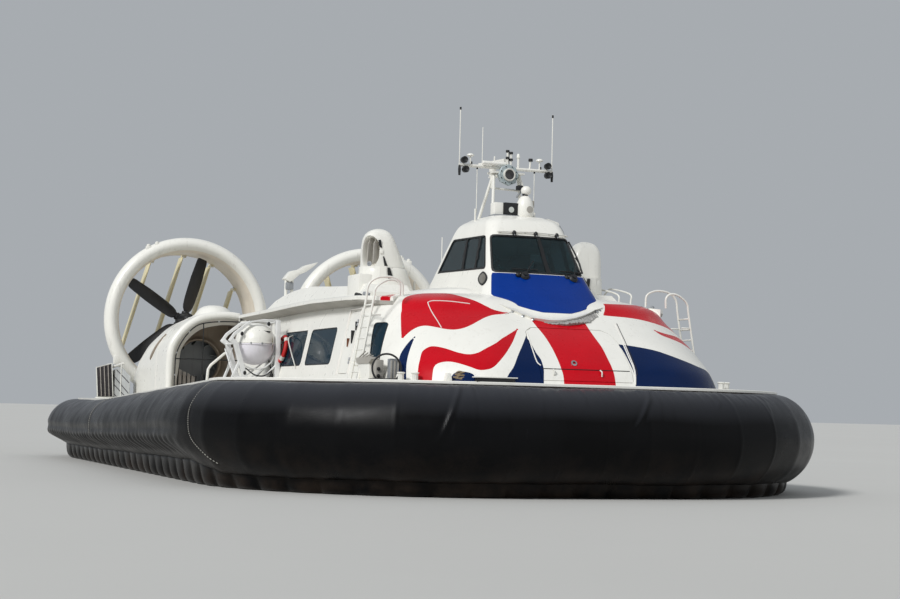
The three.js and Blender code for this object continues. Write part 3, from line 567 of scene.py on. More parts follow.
def cut_along(bm, field, point=skin_point):
    """Split the faces of a chart mesh along the line where the field is nought."""
    bm.verts.index_update()
    uv = np.array([v.co[:2] for v in bm.verts])
    value = field(uv, point(uv[:, 0], uv[:, 1]))
    value[np.abs(value) < 0.002] = 0.0
    value = list(value)
    crossing = [e for e in bm.edges if value[e.verts[0].index] * value[e.verts[1].index] < 0]
    on = [v for v in bm.verts if value[v.index] == 0.0]
    for e in crossing:
        a, b = e.verts
        va, vb = value[a.index], value[b.index]
        on.append(bmesh.utils.edge_split(e, a, va / (va - vb))[1])
    if on:
        bmesh.ops.connect_verts(bm, verts=on, check_degenerate=True)


def inside_faces(bm, field, point=skin_point):
    faces = list(bm.faces)
    uv = np.array([f.calc_center_median()[:2] for f in faces])
    value = field(uv, point(uv[:, 0], uv[:, 1]))
    return [f for f, v in zip(faces, value) if v > 0]


def skin_shell(faces, thickness, offset=0.0, point=skin_point, normal=skin_normal):
    """Closed shell from chart faces: outer and inner skins with a rim, and the normals of its corners."""
    verts = sorted({v for f in faces for v in f.verts}, key=lambda v: v.index)
    uv = np.array([v.co[:2] for v in verts])
    p, n = point(uv[:, 0], uv[:, 1]), normal(uv[:, 0], uv[:, 1])
    first, order, kept = {}, {}, []
    for i, v in enumerate(verts):
        key = tuple(np.round(p[i], 5))
        if key not in first:
            first[key] = len(kept)
            kept.append(i)
        order[v] = first[key]
    p, n = p[kept], n[kept]
    count = len(kept)
    points = np.concatenate([p + n * offset, p + n * (offset - thickness)])
    polygons, marks, normals, mark_of = [], [], [], {}

    def add(loop, mark, directions):
        polygons.append(loop)
        marks.append(mark)
        normals.extend(tuple(d) for d in directions)

    for f in faces:
        loop = [order[v] for v in f.verts]
        loop = [i for k, i in enumerate(loop) if i != loop[k - 1]]
        if len(set(loop)) < 3:
            continue
        spokes = points[loop[1:]] - points[loop[0]]
        area = sum(np.cross(a, b) for a, b in zip(spokes, spokes[1:]))
        if np.dot(area, n[loop].sum(0)) < 0:
            loop = loop[::-1]
        add(loop, f.material_index, n[loop])
        add([i + count for i in loop[::-1]], f.material_index, -n[loop[::-1]])
        for k, i in enumerate(loop):
            mark_of[(i, loop[(k + 1) % len(loop)])] = f.material_index
    for (a, b), mark in mark_of.items():
        if (b, a) not in mark_of:
            quad = [b, a, a + count, b + count]
            side = np.cross(points[quad[1]] - points[quad[0]], points[quad[2]] - points[quad[1]])
            add(quad, mark, [side / max(np.linalg.norm(side), 1e-9)] * 4)
    return points, polygons, marks, normals


def shell_mesh(name, shells, materials):
    mesh = bpy.data.meshes.new(name)
    verts, faces, marks, normals = [], [], [], []
    for points, polygons, mark, normal in shells:
        base = len(verts)
        verts += [tuple(p) for p in points]
        faces += [[base + i for i in f] for f in polygons]
        marks += mark
        normals += normal
    mesh.from_pydata(verts, [], faces)
    for material in materials:
        mesh.materials.append(material)
    mesh.polygons.foreach_set("material_index", marks)
    all_smooth(mesh)
    mesh.update()
    mesh.normals_split_custom_set(normals)
    return mesh


def one_look(shell):
    """The shell with all its faces in the first material."""
    return [(shell[0], shell[1], [0] * len(shell[1]), shell[3])]


def chart_grid(us, ts):
    """Flat mesh of the chart with its lines at the given places."""
    bm = bmesh.new()
    grid = [[bm.verts.new((u, t, 0)) for t in ts] for u in us]
    for i in range(len(us) - 1):
        for j in range(len(ts) - 1):
            bm.faces.new((grid[i][j], grid[i + 1][j], grid[i + 1][j + 1], grid[i][j + 1]))
    return bm


def mirrored(points):
    return [(-u, t) for u, t in points]


# Livery and cabin

# A third value C marks a corner of an outline.
C = 1
LIVERY = [
    (RED, [(-3.18, 1.98), (-3.17, 2.36), (-3.12, 2.58), (-3.02, 2.67), (-2.67, 2.62), (-2.19, 2.38),
           (-1.9, 2.22), (-1.72, 2.07), (-1.59, 1.97), (-1.31, 1.9, C), (-1.5, 1.86), (-1.66, 1.82),
           (-1.78, 1.75), (-1.91, 1.63), (-2.08, 1.45), (-2.23, 1.33), (-2.38, 1.28), (-2.52, 1.3),
           (-2.7, 1.37), (-2.84, 1.4), (-2.97, 1.35), (-3.1, 1.24), (-3.24, 1.08), (-3.34, 0.95, C),
           (-3.29, 1.31), (-3.22, 1.77)]),
    (RED, [(-3.07, -0.05, C), (-3.07, 0.24), (-3.03, 0.44), (-2.98, 0.62), (-2.9, 0.72), (-2.8, 0.78),
           (-2.68, 0.77), (-2.54, 0.72), (-2.36, 0.63), (-2.18, 0.59), (-2.03, 0.64), (-1.88, 0.77),
           (-1.72, 0.91), (-1.56, 1.1), (-1.22, 1.38, C), (-1.31, 1.17), (-1.4, 0.96), (-1.51, 0.74),
           (-1.61, 0.54), (-1.71, 0.37), (-1.8, 0.28), (-1.92, 0.24), (-2.03, 0.24), (-2.18, 0.3),
           (-2.37, 0.37), (-2.51, 0.4), (-2.65, 0.38), (-2.75, 0.32), (-2.79, 0.22), (-2.81, -0.05, C)]),
    (NAVY, [(-3.04, 1.09, C), (-3.17, 0.93), (-3.3, 0.75), (-3.42, 0.55), (-3.48, 0.33), (-3.45, -0.05, C),
            (-3.29, -0.05, C), (-3.31, 0.24), (-3.28, 0.44), (-3.21, 0.66), (-3.13, 0.87)]),
    (NAVY, [(-2.52, -0.05, C), (-2.48, 0.09), (-2.42, 0.17), (-2.33, 0.2), (-2.22, 0.19), (-2.1, 0.14),
            (-2.04, -0.05, C)]),
    (NAVY, [(-1.07, 1.15, C), (-1.18, 0.91), (-1.31, 0.61), (-1.4, 0.33), (-1.51, 0.15), (-1.6, -0.05, C),
            (-0.86, -0.05, C), (-0.84, 0.17), (-0.83, 0.31), (-0.86, 0.52), (-0.93, 0.68), (-0.99, 0.89)]),
    (RED, [(-0.78, 1.75, C), (-0.74, 1.54), (-0.65, 1.25), (-0.57, 0.89), (-0.52, 0.57), (-0.49, 0.32),
           (-0.47, 0.18), (-0.48, -0.05, C), (0.5, -0.05, C), (0.53, 0.17), (0.54, 0.34), (0.56, 0.59),
           (0.59, 0.89), (0.59, 1.19), (0.62, 1.52), (0.66, 1.78, C)]),
    (NAVY, [(1.04, 1.01, C), (1.3, 0.98), (1.57, 0.93), (1.8, 0.86), (2.03, 0.75), (2.29, 0.63), (2.62, 0.5),
            (2.97, 0.41), (3.11, 0.31), (3.14, -0.05, C), (2.1, -0.05), (0.88, -0.05, C), (0.94, 0.23),
            (0.96, 0.43), (1.0, 0.65), (1.03, 0.86)]),
    (RED, [(1.34, 1.97, C), (1.66, 1.95), (1.93, 1.93), (2.22, 1.88), (2.55, 1.79), (2.92, 1.67), (3.2, 1.52),
           (3.42, 1.3, C), (3.45, 1.55), (3.42, 1.9), (3.3, 2.2), (3.1, 2.42, C), (2.8, 2.45), (2.42, 2.4),
           (2.0, 2.37), (1.67, 2.35, C)]),
    (RED, [(2.24, 1.55, C), (2.52, 1.45), (2.96, 1.38), (3.25, 1.22), (3.45, 1.0), (3.5, 0.86, C),
           (3.3, 0.92), (3.05, 1.03), (2.82, 1.16), (2.51, 1.29), (2.32, 1.39)]),
    (RED, [(-3.46, 2.22, C), (-3.76, 2.26), (-4.0, 2.42), (-4.15, 2.58, C), (-4.03, 2.61), (-3.91, 2.63),
           (-3.74, 2.64, C), (-3.51, 2.38)]),
]

WINDOWS = [(-5.55, -3.95), (-3.63, -2.10)]
FORE_WINDOW = [(3.86, 1.51), (3.53, 1.51), (4.05, 0.38), (4.48, 0.38)]
WINDOW_Z, WINDOW_CORNER, SEAL_WIDTH = (2.27, 2.94), 0.07, 0.022
DOOR = (-6.76, -6.20, 2.06, 3.23)
BOW_DOOR = [(-0.88, 1.985), (0.88, 1.985), (0.88, 2.71), (0.82, 2.86), (0.68, 2.93),
            (-0.68, 2.93), (-0.82, 2.86), (-0.88, 2.71)]


def chart_mesh():
    """Flat grid of the cabin surface: finer on the nose and by the windows."""
    fine_end = BEND_END + 8.2
    half = list(np.arange(0, BEND_END, 0.045)) + list(np.arange(BEND_END, fine_end, 0.05))
    half += list(np.linspace(fine_end, BEND_END + SIDE, 14))
    us = [-u for u in half[:0:-1]] + half
    ts = list(np.linspace(0, 2.2, 49)) + list(np.linspace(2.2, KNOTS[-1], 15))[1:]
    return chart_grid(us, ts)


def window_holes(s):
    """Fields of the fore window and the aft windows of one side."""
    fore = chart_round([(s * u, t) for u, t in FORE_WINDOW], 0.08)
    aft = [round_rect(y0, y1, *WINDOW_Z, WINDOW_CORNER) for y0, y1 in WINDOWS]
    return [("fore", shape_field(fore))] + [("aft", shape_field(ring, (1, 2), s)) for ring in aft]


def bow_door_fields():
    """Fields of the bow door's hole and its leaf, which hold on the nose only."""
    middle, smaller = np.array([0, 2.45]), np.array([0.989, 0.982])
    leaf = [tuple(middle + (np.array(p) - middle) * smaller) for p in BOW_DOOR]
    fields = shape_field(BOW_DOOR, (0, 2)), shape_field(leaf, (0, 2))
    return [lambda uv, xyz, f=f: np.where(xyz[:, 1] < -8.6, f(uv, xyz), -0.2) for f in fields]


def build_cabin():
    """Wall, window panes and door leaves, cut out of one chart of the cabin."""
    bm = chart_mesh()
    looks = [WHITE, RED, NAVY, SEAL]
    painted = []
    for look, points in LIVERY:
        field = shape_field(outline(points))
        cut_along(bm, field)
        painted.append((look, field))
    panes, seals = {}, []
    for side, s in SIDES:
        for strip, field in window_holes(s):
            seals.append(grown(field, SEAL_WIDTH))
            cut_along(bm, seals[-1])
            cut_along(bm, field)
            panes.setdefault((strip, side), []).append(field)
    doors, gaps = {}, []
    y0, y1, z0, z1 = DOOR
    for side, s in SIDES:
        leaf = round_rect(y0 + 0.008, y1 - 0.014, z0 + 0.01, z1 - 0.01, 0.065)
        doors[side] = shape_field(leaf, (1, 2), s)
        gaps.append(shape_field(round_rect(y0, y1, z0, z1, WINDOW_CORNER), (1, 2), s))
    only_nose = bow_door_fields()
    for field in gaps + list(doors.values()) + only_nose:
        cut_along(bm, field)

    bm.verts.index_update()
    for look, field in painted:
        for f in inside_faces(bm, field):
            f.material_index = looks.index(look)
    for field in seals:
        for f in inside_faces(bm, field):
            f.material_index = looks.index(SEAL)
    taken = set()
    for side, _ in SIDES:
        leaf = [f for f in inside_faces(bm, doors[side]) if f not in taken]
        taken |= set(leaf)
        DOOR_SHELLS[side] = skin_shell(leaf, LEAF_THICK)
        for name in ("fore", "aft"):
            glass = [f for field in panes[name, side] for f in inside_faces(bm, field) if f not in taken]
            taken |= set(glass)
            GLASS_SHELLS[(name, side)] = skin_shell(glass, PANE_THICK, -0.006)
    bow = inside_faces(bm, only_nose[1])
    taken |= set(bow)
    BOW_SHELL.append(skin_shell(bow, WALL_THICK))
    for field in gaps + only_nose[:1]:
        taken |= set(inside_faces(bm, field))
    shells = [skin_shell([f for f in bm.faces if f not in taken], WALL_THICK)]
    bm.free()
    return shells, looks


DOOR_SHELLS, GLASS_SHELLS, BOW_SHELL = {}, {}, []
cabin_shells, CABIN_LOOKS = build_cabin()
place("cabin_shell", shell_mesh("cabin_shell", cabin_shells, CABIN_LOOKS), "craft",
      ["cabin", "cabin_roof"])
for (name, side), shell in GLASS_SHELLS.items():
    place(f"window_panes_{name}_{side}", shell_mesh("panes", one_look(shell), [GLASS]), "craft",
          [f"window_glass_{name}_{side}"])
for side, _ in SIDES:
    place(f"side_door_leaf_{side}", shell_mesh("leaf", [DOOR_SHELLS[side]], CABIN_LOOKS), f"side_door_{side}",
          [f"side_door_{side}"])
place("bow_door_leaf", shell_mesh("bow_leaf", BOW_SHELL, CABIN_LOOKS), "bow_door", ["bow_door"])


# Skirt
BOW_HALF, BOW_R, STERN_HALF, STERN_R, EDGE_X, SIDE_RUN = 1.3, 4.3, 3.3, 2.3, 5.6, 13.75
BOW_Y, SIDE_START_Y, SIDE_END_Y = -10.15, -5.85, 7.9
S1 = BOW_HALF
S2 = S1 + BOW_R * math.pi / 2
S3 = S2 + SIDE_RUN
S4 = S3 + STERN_R * math.pi / 2
S5 = S4 + STERN_HALF
PANEL, FIRST_SEAM, FINGER = 0.83, -3.33, 0.62


def edge_plan(s):
    """Deck edge at s along it from the bow, positive to port: x, y and the outward direction."""
    s = np.asarray(s, float)
    a, side = np.abs(s), np.where(s < 0, -1.0, 1.0)
    bow, stern = np.clip((a - S1) / BOW_R, 0, math.pi / 2), np.clip((a - S3) / STERN_R, 0, math.pi / 2)
    x = np.where(a < S1, a, BOW_HALF + BOW_R * np.sin(bow))
    y = np.where(a < S1, BOW_Y, SIDE_START_Y - BOW_R * np.cos(bow))
    nx, ny = np.where(a < S1, 0, np.sin(bow)), np.where(a < S1, -1, -np.cos(bow))
    flat = a >= S2
    x, y = np.where(flat, EDGE_X, x), np.where(flat, SIDE_START_Y + np.minimum(a, S3) - S2, y)
    nx, ny = np.where(flat, 1.0, nx), np.where(flat, 0.0, ny)
    turn = a >= S3
    x = np.where(turn, STERN_HALF + STERN_R * np.cos(stern), x)
    y = np.where(turn, SIDE_END_Y + STERN_R * np.sin(stern), y)
    nx, ny = np.where(turn, np.cos(stern), nx), np.where(turn, np.sin(stern), ny)
    x = np.where(a >= S4, np.maximum(STERN_HALF - (a - S4), 0), x)
    return side * x, y, side * nx, ny


def sheer(y):
    """Share of the bow's height that the deck edge keeps at y."""
    return 1 - 0.21 * np.clip((np.asarray(y, float) + 6.5) / 10.5, 0, 1)


def ease(x, low, high):
    """Smooth step from 0 at low to 1 at high."""
    t = np.clip((np.asarray(x, float) - low) / (high - low), 0, 1)
    return t * t * (3 - 2 * t)


# Section of the bag from the deck edge round to its inner foot: offset and height.
BAG = np.array([(0.004, 1.856), (0.11, 1.866), (0.30, 1.81), (0.49, 1.67), (0.64, 1.46), (0.725, 1.23),
                (0.75, 1.02), (0.715, 0.77), (0.60, 0.52), (0.43, 0.34), (0.26, 0.245), (0.12, 0.25),
                (0.02, 0.30)])
BAG_V = np.concatenate([[0], np.cumsum(np.hypot(*np.diff(BAG, axis=0).T))])


def bag_section(v):
    """Smooth section of the bag at v round it from the deck edge: offset and height."""
    return rows_at(BAG, BAG_V, v)


def bag_smooth(s, v):
    x, y, nx, ny = edge_plan(s)
    offset, z = np.moveaxis(bag_section(v), -1, 0)
    tuck = ease(np.abs(s), 6.3, 8.4) * ease(v, 1.35, 1.95)
    z = z + tuck * 0.19
    offset = offset - tuck * 0.05
    return np.stack([x + nx * offset, y + ny * offset, z * sheer(y)], -1)


def bag_panelled(s, v):
    """Panels are nearly flat between their seams, so the bag has a slight break at each seam."""
    k = np.floor((s - FIRST_SEAM) / PANEL)
    s0 = np.clip(FIRST_SEAM + k * PANEL, -S5, S5)
    s1 = np.clip(s0 + PANEL, -S5, S5)
    w = ((s - s0) / np.maximum(s1 - s0, 1e-6))[..., None]
    chord = bag_smooth(s0, v) * (1 - w) + bag_smooth(s1, v) * w
    return 0.72 * chord + 0.28 * bag_smooth(s, v)


def segment_distance(s, v, path):
    """Distance of chart points to a path, and how far along it they lie, 0 to 1."""
    best = np.full(np.shape(s), 9.0)
    along = np.zeros(np.shape(s))
    total = len(path) - 1
    for i, ((s0, v0), (s1, v1)) in enumerate(zip(path[:-1], path[1:])):
        ds, dv = s1 - s0, v1 - v0
        w = np.clip(((s - s0) * ds + (v - v0) * dv) / (ds * ds + dv * dv), 0, 1)
        d = np.hypot(s - s0 - w * ds, v - v0 - w * dv)
        along = np.where(d < best, (i + w) / total, along)
        best = np.minimum(best, d)
    return best, along


# Each crease has its path in the chart from the deck edge down, its height and its width.
CREASES = [
    ([(-2.36, 0.16), (-2.44, 0.5), (-2.56, 0.95), (-2.66, 1.24), (-2.8, 1.42)], 0.030, 0.034),
    ([(-2.2, 0.2), (-2.2, 0.5), (-2.15, 1.05)], 0.014, 0.03),
    ([(1.06, 0.1), (0.9, 0.5), (0.62, 0.95), (0.32, 1.34)], 0.026, 0.034),
    ([(-1.1, 0.08), (-1.11, 0.5), (-1.15, 1.0)], 0.012, 0.03),
    ([(1.14, 0.1), (1.08, 0.5), (1.02, 0.98)], 0.012, 0.03),
    ([(1.3, 0.1), (1.3, 0.55), (1.26, 0.9)], 0.010, 0.03),
    ([(2.36, 0.1), (2.28, 0.45), (2.14, 0.72)], 0.012, 0.03),
    ([(-0.35, 0.08), (-0.3, 0.4), (-0.33, 0.7)], 0.009, 0.03),
    ([(3.6, 0.1), (3.45, 0.5), (3.3, 0.9)], 0.012, 0.035),
]
CURVED_SEAM = [(7.32, 0.1), (7.24, 0.36), (7.2, 0.6), (7.19, 0.9), (7.12, 1.14), (7.04, 1.4), (6.84, 1.64),
               (6.5, 1.92)]
STERN_SEAM = [(16.3, 0.1), (16.34, 0.5), (16.25, 0.8), (16.0, 1.18), (15.94, 1.48)]


def bag_relief(s, v):
    """Height of the fabric's folds over the bag's own form."""
    a = np.abs(s)
    nearest = np.abs((s - FIRST_SEAM + PANEL / 2) % PANEL - PANEL / 2)
    relief = 0.004 * (1 - ease(nearest, 0.022, 0.034))
    relief += 0.005 * np.sin(1.7 * s + 2.3 * v) + 0.004 * np.sin(3.1 * s - 4.2 * v + 1.0)
    bow = 1 - ease(a, 3.2, 6.0)
    gather = (np.sin(s * 31 + 1.7 * np.sin(s * 5.3)) + 0.7 * np.sin(s * 53 + 2.1 * np.sin(s * 3.1))) * 0.5
    relief += gather * (0.0045 * bow + 0.0015) * ease(v, 0.03, 0.12) * (1 - ease(v, 0.22, 0.7))
    for path, height, width in CREASES:
        d, along = segment_distance(s, v, path)
        strength = height * np.minimum(1, 3.2 * (1 - along)) * np.minimum(1, 0.3 + 5 * along)
        relief += strength * (np.exp(-(d / width) ** 2) - 0.35 * np.exp(-(d / (2.4 * width)) ** 2))
    for seam, deep in ((CURVED_SEAM, 0.009), (STERN_SEAM, 0.008)):
        relief -= deep * np.exp(-(segment_distance(a, v, seam)[0] / 0.035) ** 2)
    aft = ease(a, 7.0, 8.6)
    relief -= 0.028 * aft * np.exp(-((v - 1.25) / 0.10) ** 2)
    wave = a * (2 * math.pi / 0.36) + 0.8 * np.sin(a * 1.9) + 1.4 * (v - 1.5)
    pleat = 0.5 + 0.5 * np.sin(wave)
    relief += aft * (pleat ** 0.6 - 0.6) * 0.042 * ease(v, 1.33, 1.5) * (1 - ease(v, 1.86, 2.05))
    return relief


def wrapped_mesh(name, points):
    """Mesh of a grid of points that closes on itself both ways."""
    n, m = points.shape[:2]
    mesh = bpy.data.meshes.new(name)
    faces = []
    for i in range(n):
        a, b = i * m, ((i + 1) % n) * m
        faces += [(a + j, b + j, b + (j + 1) % m, a + (j + 1) % m) for j in range(m)]
    mesh.from_pydata(points.reshape(-1, 3).tolist(), [], faces)
    all_smooth(mesh)
    mesh.update()
    turn_outward(mesh)
    mesh.materials.append(RUBBER)
    return mesh


def rubber(name="skirt_rubber"):
    """Coated fabric: a woven grain, panels of uneven tone, salt marks, a painted brownish reflection of the
    ground low down and a painted grey-blue sheen of the sky on what looks up.
    """
    material, tree, shader = nodes_of(name)
    plain = coordinates(tree)
    panel = tree.nodes.new("ShaderNodeAttribute")
    panel.attribute_name = "panel"
    base = mix(tree, panel.outputs["Fac"], linear(4, 4, 5), linear(8, 8, 9))
    patch = span(tree, noise(tree, plain, 0.8, 5), 0.4, 0.75)
    base = mix(tree, patch, base, linear(11, 11, 13))
    streak = noise(tree, coordinates(tree, (6, 6, 0.5)), 2.5, 6, 0.7)
    base = mix(tree, span(tree, streak, 0.62, 0.85, 0, 0.22), base, linear(52, 52, 54))
    height = tree.nodes.new("ShaderNodeSeparateXYZ")
    link(tree, plain, height.inputs[0])
    # Brownish tint in patches, strongest low down: a painted reflection of the ground.
    ground_reflection = tree.nodes.new("ShaderNodeMath")
    ground_reflection.operation = "MULTIPLY"
    link(tree, span(tree, height.outputs["Z"], 0.05, 0.95, 1, 0), ground_reflection.inputs[0])
    link(tree, span(tree, noise(tree, plain, 1.6, 6, 0.65), 0.36, 0.7), ground_reflection.inputs[1])
    base = mix(tree, span(tree, ground_reflection.outputs[0], 0.05, 0.9, 0, 0.4), base, linear(62, 50, 40))
    # Lighter grey-blue on faces that look up: a painted sheen of the sky's reflection.
    facing = tree.nodes.new("ShaderNodeNewGeometry")
    upward = tree.nodes.new("ShaderNodeSeparateXYZ")
    link(tree, facing.outputs["Normal"], upward.inputs[0])
    base = mix(tree, span(tree, upward.outputs["Z"], 0.3, 0.95, 0, 0.6), base, linear(74, 76, 82))
    link(tree, base, shader.inputs["Base Color"])
    gloss = span(tree, noise(tree, plain, 2.4, 5), 0.3, 0.75, 0.26, 0.42)
    link(tree, gloss, shader.inputs["Roughness"])
    shader.inputs["Specular IOR Level"].default_value = 0.1
    weave = tree.nodes.new("ShaderNodeTexBrick")
    weave.inputs["Scale"].default_value = 90
    link(tree, plain, weave.inputs["Vector"])
    both = mix(tree, 0.5, weave.outputs["Color"], weave.outputs["Color"])
    grain = mix(tree, 0.65, both, noise(tree, plain, 45, 4))
    bump_from(tree, grain, 0.22, 0.003, shader)
    return material


RUBBER = rubber()


def tag_panels(mesh, s_of_point):
    """Give each panel of the skirt a tone of its own, which the rubber reads."""
    layer = mesh.attributes.new("panel", "FLOAT", "POINT")
    tones = RNG.random(200)
    k = np.floor((s_of_point - FIRST_SEAM) / PANEL).astype(int) % 200
    layer.data.foreach_set("value", tones[k])


def build_bag():
    """The bag, with finer columns over the bow, where the creases show."""
    fine = np.arange(-3.4, 3.8, 0.028)
    coarse = np.arange(3.8, S5, 0.07)
    between = [-3.8, -3.73, -3.66, -3.59, -3.52, -3.46]
    columns = np.concatenate([-coarse[::-1], between, fine, coarse])
    columns = np.unique(np.round(columns, 4))
    columns = columns[np.abs(columns) < S5 - 0.02]
    rows = np.linspace(0, BAG_V[-1], 62)
    s, v = np.meshgrid(columns, rows, indexing="ij")
    e = 0.02
    p = bag_panelled(s, v)
    du = bag_panelled(s + e, v) - bag_panelled(s - e, v)
    top = BAG_V[-1]
    dv = bag_panelled(s, np.minimum(v + e, top)) - bag_panelled(s, np.maximum(v - e, 0))
    n = np.cross(dv, du)
    n /= np.maximum(np.linalg.norm(n, axis=-1, keepdims=True), 1e-9)
    p = p + n * bag_relief(s, v)[..., None]
    p[..., 2] = np.maximum(p[..., 2], 0.16)
    mesh = wrapped_mesh("skirt_bag_fabric", p)
    tag_panels(mesh, s.reshape(-1))
    bag = place("skirt_bag_fabric", mesh, "craft", ["skirt_bag"])


def build_fingers():
    """Ring of fingers under the bag, each a lobe that stands out in its middle."""
    columns = np.arange(-S5 + 0.02, S5 - 0.02, 0.05)
    rows = np.linspace(0, 1, 15)
    s, w = np.meshgrid(columns, rows, indexing="ij")
    a = np.abs(s)
    aft = ease(a, 6.3, 8.4)
    lobe = np.abs(np.cos(s * math.pi / FINGER))
    tall = 0.30 + 0.20 * aft
    down = np.clip(1 - np.abs(2 * w - 1), 0, 1)
    z = tall * (1 - np.sin(down * math.pi / 2))
    outer = w < 0.5
    swell = (lobe ** 0.5 - 0.6) * np.sin(np.clip(down, 0.05, 1) * math.pi * 0.9)
    offset = np.where(outer, 0.235 - 0.16 * down ** 1.4, 0.09 - 0.06 * down)
    offset = offset + np.where(outer, 0.10, 0.05) * swell
    x, y, nx, ny = edge_plan(s)
    points = np.stack([x + nx * offset, y + ny * offset, np.maximum(z * sheer(y), 0.0)], -1)
    points[..., 2] -= points[..., 2].min()
    mesh = wrapped_mesh("skirt_finger_ring", points)
    tag_panels(mesh, (s * PANEL / FINGER).reshape(-1))
    fingers = place("skirt_finger_ring", mesh, "craft", ["skirt_fingers"])


def build_lacing():
    """Short cords along the two laced seams of each side."""
    stitches = Piece("skirt_lacing", slot="skirt_rubber")
    for path in (CURVED_SEAM, STERN_SEAM):
        curve = [(p.x, p.y) for p in cubic([(q[0], q[1], 0) for q in path], steps=7)]
        for side in (-1, 1):
            sv = np.array([(side * a, b) for a, b in curve])
            pts = bag_panelled(sv[:, 0], sv[:, 1])
            out = pts - pts * np.array([0.98, 0.98, 1])
            for i in range(len(pts) - 1):
                a, b = Vector(pts[i]), Vector(pts[i + 1])
                o = Vector(out[i]).normalized() * 0.002
                mid = a.lerp(b, 0.5)
                stitches.put(bar(mid + (a - mid) * 0.55 + o, mid + (b - mid) * 0.55 + o, 0.009, 8), LACE)
    stitches.done()


LACE = finish("lacing_cord", linear(150, 148, 140), 0.7, dark=0.7, patch=12)
build_bag()
build_fingers()
build_lacing()

# Offset out of the deck edge and height at the bow of each section's corners.
RAIL_SECTION = [(-0.06, 1.926), (-0.055, 1.934), (0.030, 1.934), (0.040, 1.924), (0.040, 1.888),
                (0.032, 1.880), (-0.06, 1.880)]
CLAMP_SECTION = [(-0.02, 1.8795), (0.022, 1.8795), (0.028, 1.872), (0.022, 1.858), (-0.02, 1.858)]


def build_deck_edge():
    """White rubbing rail round the bow and forward sides, with a dark clamp strip under it."""
    rail = Piece("deck_edge_rail")
    x, y, nx, ny = edge_plan(np.arange(-7.9, 7.91, 0.1))
    fall = sheer(y)
    for material, section in ((WHITE, RAIL_SECTION), (CLAMP, CLAMP_SECTION)):
        rail.put(loft([[Vector((x[i] + nx[i] * o, y[i] + ny[i] * o, z * fall[i])) for o, z in section]
                       for i in range(len(x))]), material)
    rail.done()


CLAMP = finish("clamp_strip", linear(70, 58, 48), 0.65, dark=0.6, patch=5)
build_deck_edge()


# Control cab

# Rows: height, half width, front, back, corner radius, crown of the front.
CAB = np.array([
    (3.00, 1.26, -8.56, -4.45, 0.25, 0.44), (3.25, 1.23, -8.42, -4.48, 0.25, 0.33),
    (3.50, 1.16, -8.23, -4.60, 0.25, 0.26), (3.97, 1.00, -7.90, -4.90, 0.22, 0.14),
    (4.69, 0.83, -7.50, -5.40, 0.20, 0.09), (4.98, 0.73, -7.32, -5.60, 0.20, 0.08),
    (5.11, 0.54, -7.08, -5.78, 0.18, 0.06)])
CAB_KNOTS = np.concatenate([[0], np.cumsum(np.hypot(np.diff(CAB[:, 0]), np.diff(CAB[:, 2])))])
CAB_TOP = CAB_KNOTS[-1]
CAB_CENTRE = np.array([0, -6.43])


def cab_point(u, t):
    """Point of the cab; past CAB_TOP t closes the roof.

    u is 0 to 1 along the front, to 1.4 round the corner, to 3.4 along the side, then 3.7 and 4.7 on the back.
    """
    u, t = np.broadcast_arrays(np.asarray(u, float), np.asarray(t, float))
    z, half, front, back, r, crown = np.moveaxis(rows_at(CAB, CAB_KNOTS, t), -1, 0)
    a = np.abs(u)
    f, g, h = np.clip(a, 0, 1), np.clip((a - 1.4) / 2, 0, 1), np.clip(a - 3.7, 0, 1)
    a1, a2 = np.clip((a - 1) / 0.4, 0, 1) * math.pi / 2, np.clip((a - 3.4) / 0.3, 0, 1) * math.pi / 2
    x = (half - r) * f * (1 - h) + r * np.sin(a1) * np.cos(a2)
    y = front + r * (1 - np.cos(a1)) + g * (back - front - 2 * r) + r * np.sin(a2)
    y = np.where(a < 1.4, y - crown * (1 - (x / half) ** 2), y)
    w = np.clip(t - CAB_TOP, 0, 1)
    z = z + 0.045 * (1 - (1 - w) ** 2)
    return np.stack([np.sign(u) * x * (1 - w), CAB_CENTRE[1] + (y - CAB_CENTRE[1]) * (1 - w), z], -1)


def cab_normal(u, t):
    e = 0.006
    u, t = np.asarray(u, float), np.asarray(t, float)
    du = cab_point(np.clip(u + e, -4.7, 4.7), t) - cab_point(np.clip(u - e, -4.7, 4.7), t)
    dt = cab_point(u, np.minimum(t + e, CAB_TOP + 0.99)) - cab_point(u, np.maximum(t - e, 0))
    n = np.cross(du, dt)
    size = np.linalg.norm(n, axis=-1, keepdims=True)
    return np.where(size > 1e-7, n / np.maximum(size, 1e-9), np.array([0, 0, 1.0]))


def even(points):
    """Outline drawn for u > 0, completed by its mirror image."""
    return list(points) + [(-p[0],) + tuple(p[1:]) for p in points[::-1]]


SCREEN_OUT = chart_round(even([(1.17, 1.17), (1.22, 2.01)]), 0.09)
SIDE_PANE = chart_round([(-1.31, 1.25), (-1.33, 2.0), (-3.28, 2.05), (-3.33, 1.33)], 0.07)
BLUE_EDGE = [(0.0, 0.235), (0.28, 0.25), (0.5, 0.31), (0.68, 0.375), (0.88, 0.46), (1.07, 0.57), (1.16, 0.64)]
LIP_EDGE = [(0.0, 0.045), (0.3, 0.065), (0.5, 0.10), (0.71, 0.18), (0.9, 0.27), (1.1, 0.38), (1.22, 0.50),
            (1.34, 0.68)]
BLUE_OUT = even(BLUE_EDGE[1:] + [(1.17, 1.155)])
LAMP = chart_round([(-1.36, 1.22), (-1.54, 1.12), (-1.55, 0.98), (-1.38, 0.84), (-1.27, 0.92), (-1.23, 1.08)],
                   0.12)
PANES, PANE_RIM, LAMPS, LAMP_RIM = ("screen", "starboard", "port"), 0.036, ("lamp_s", "lamp_p"), 0.035


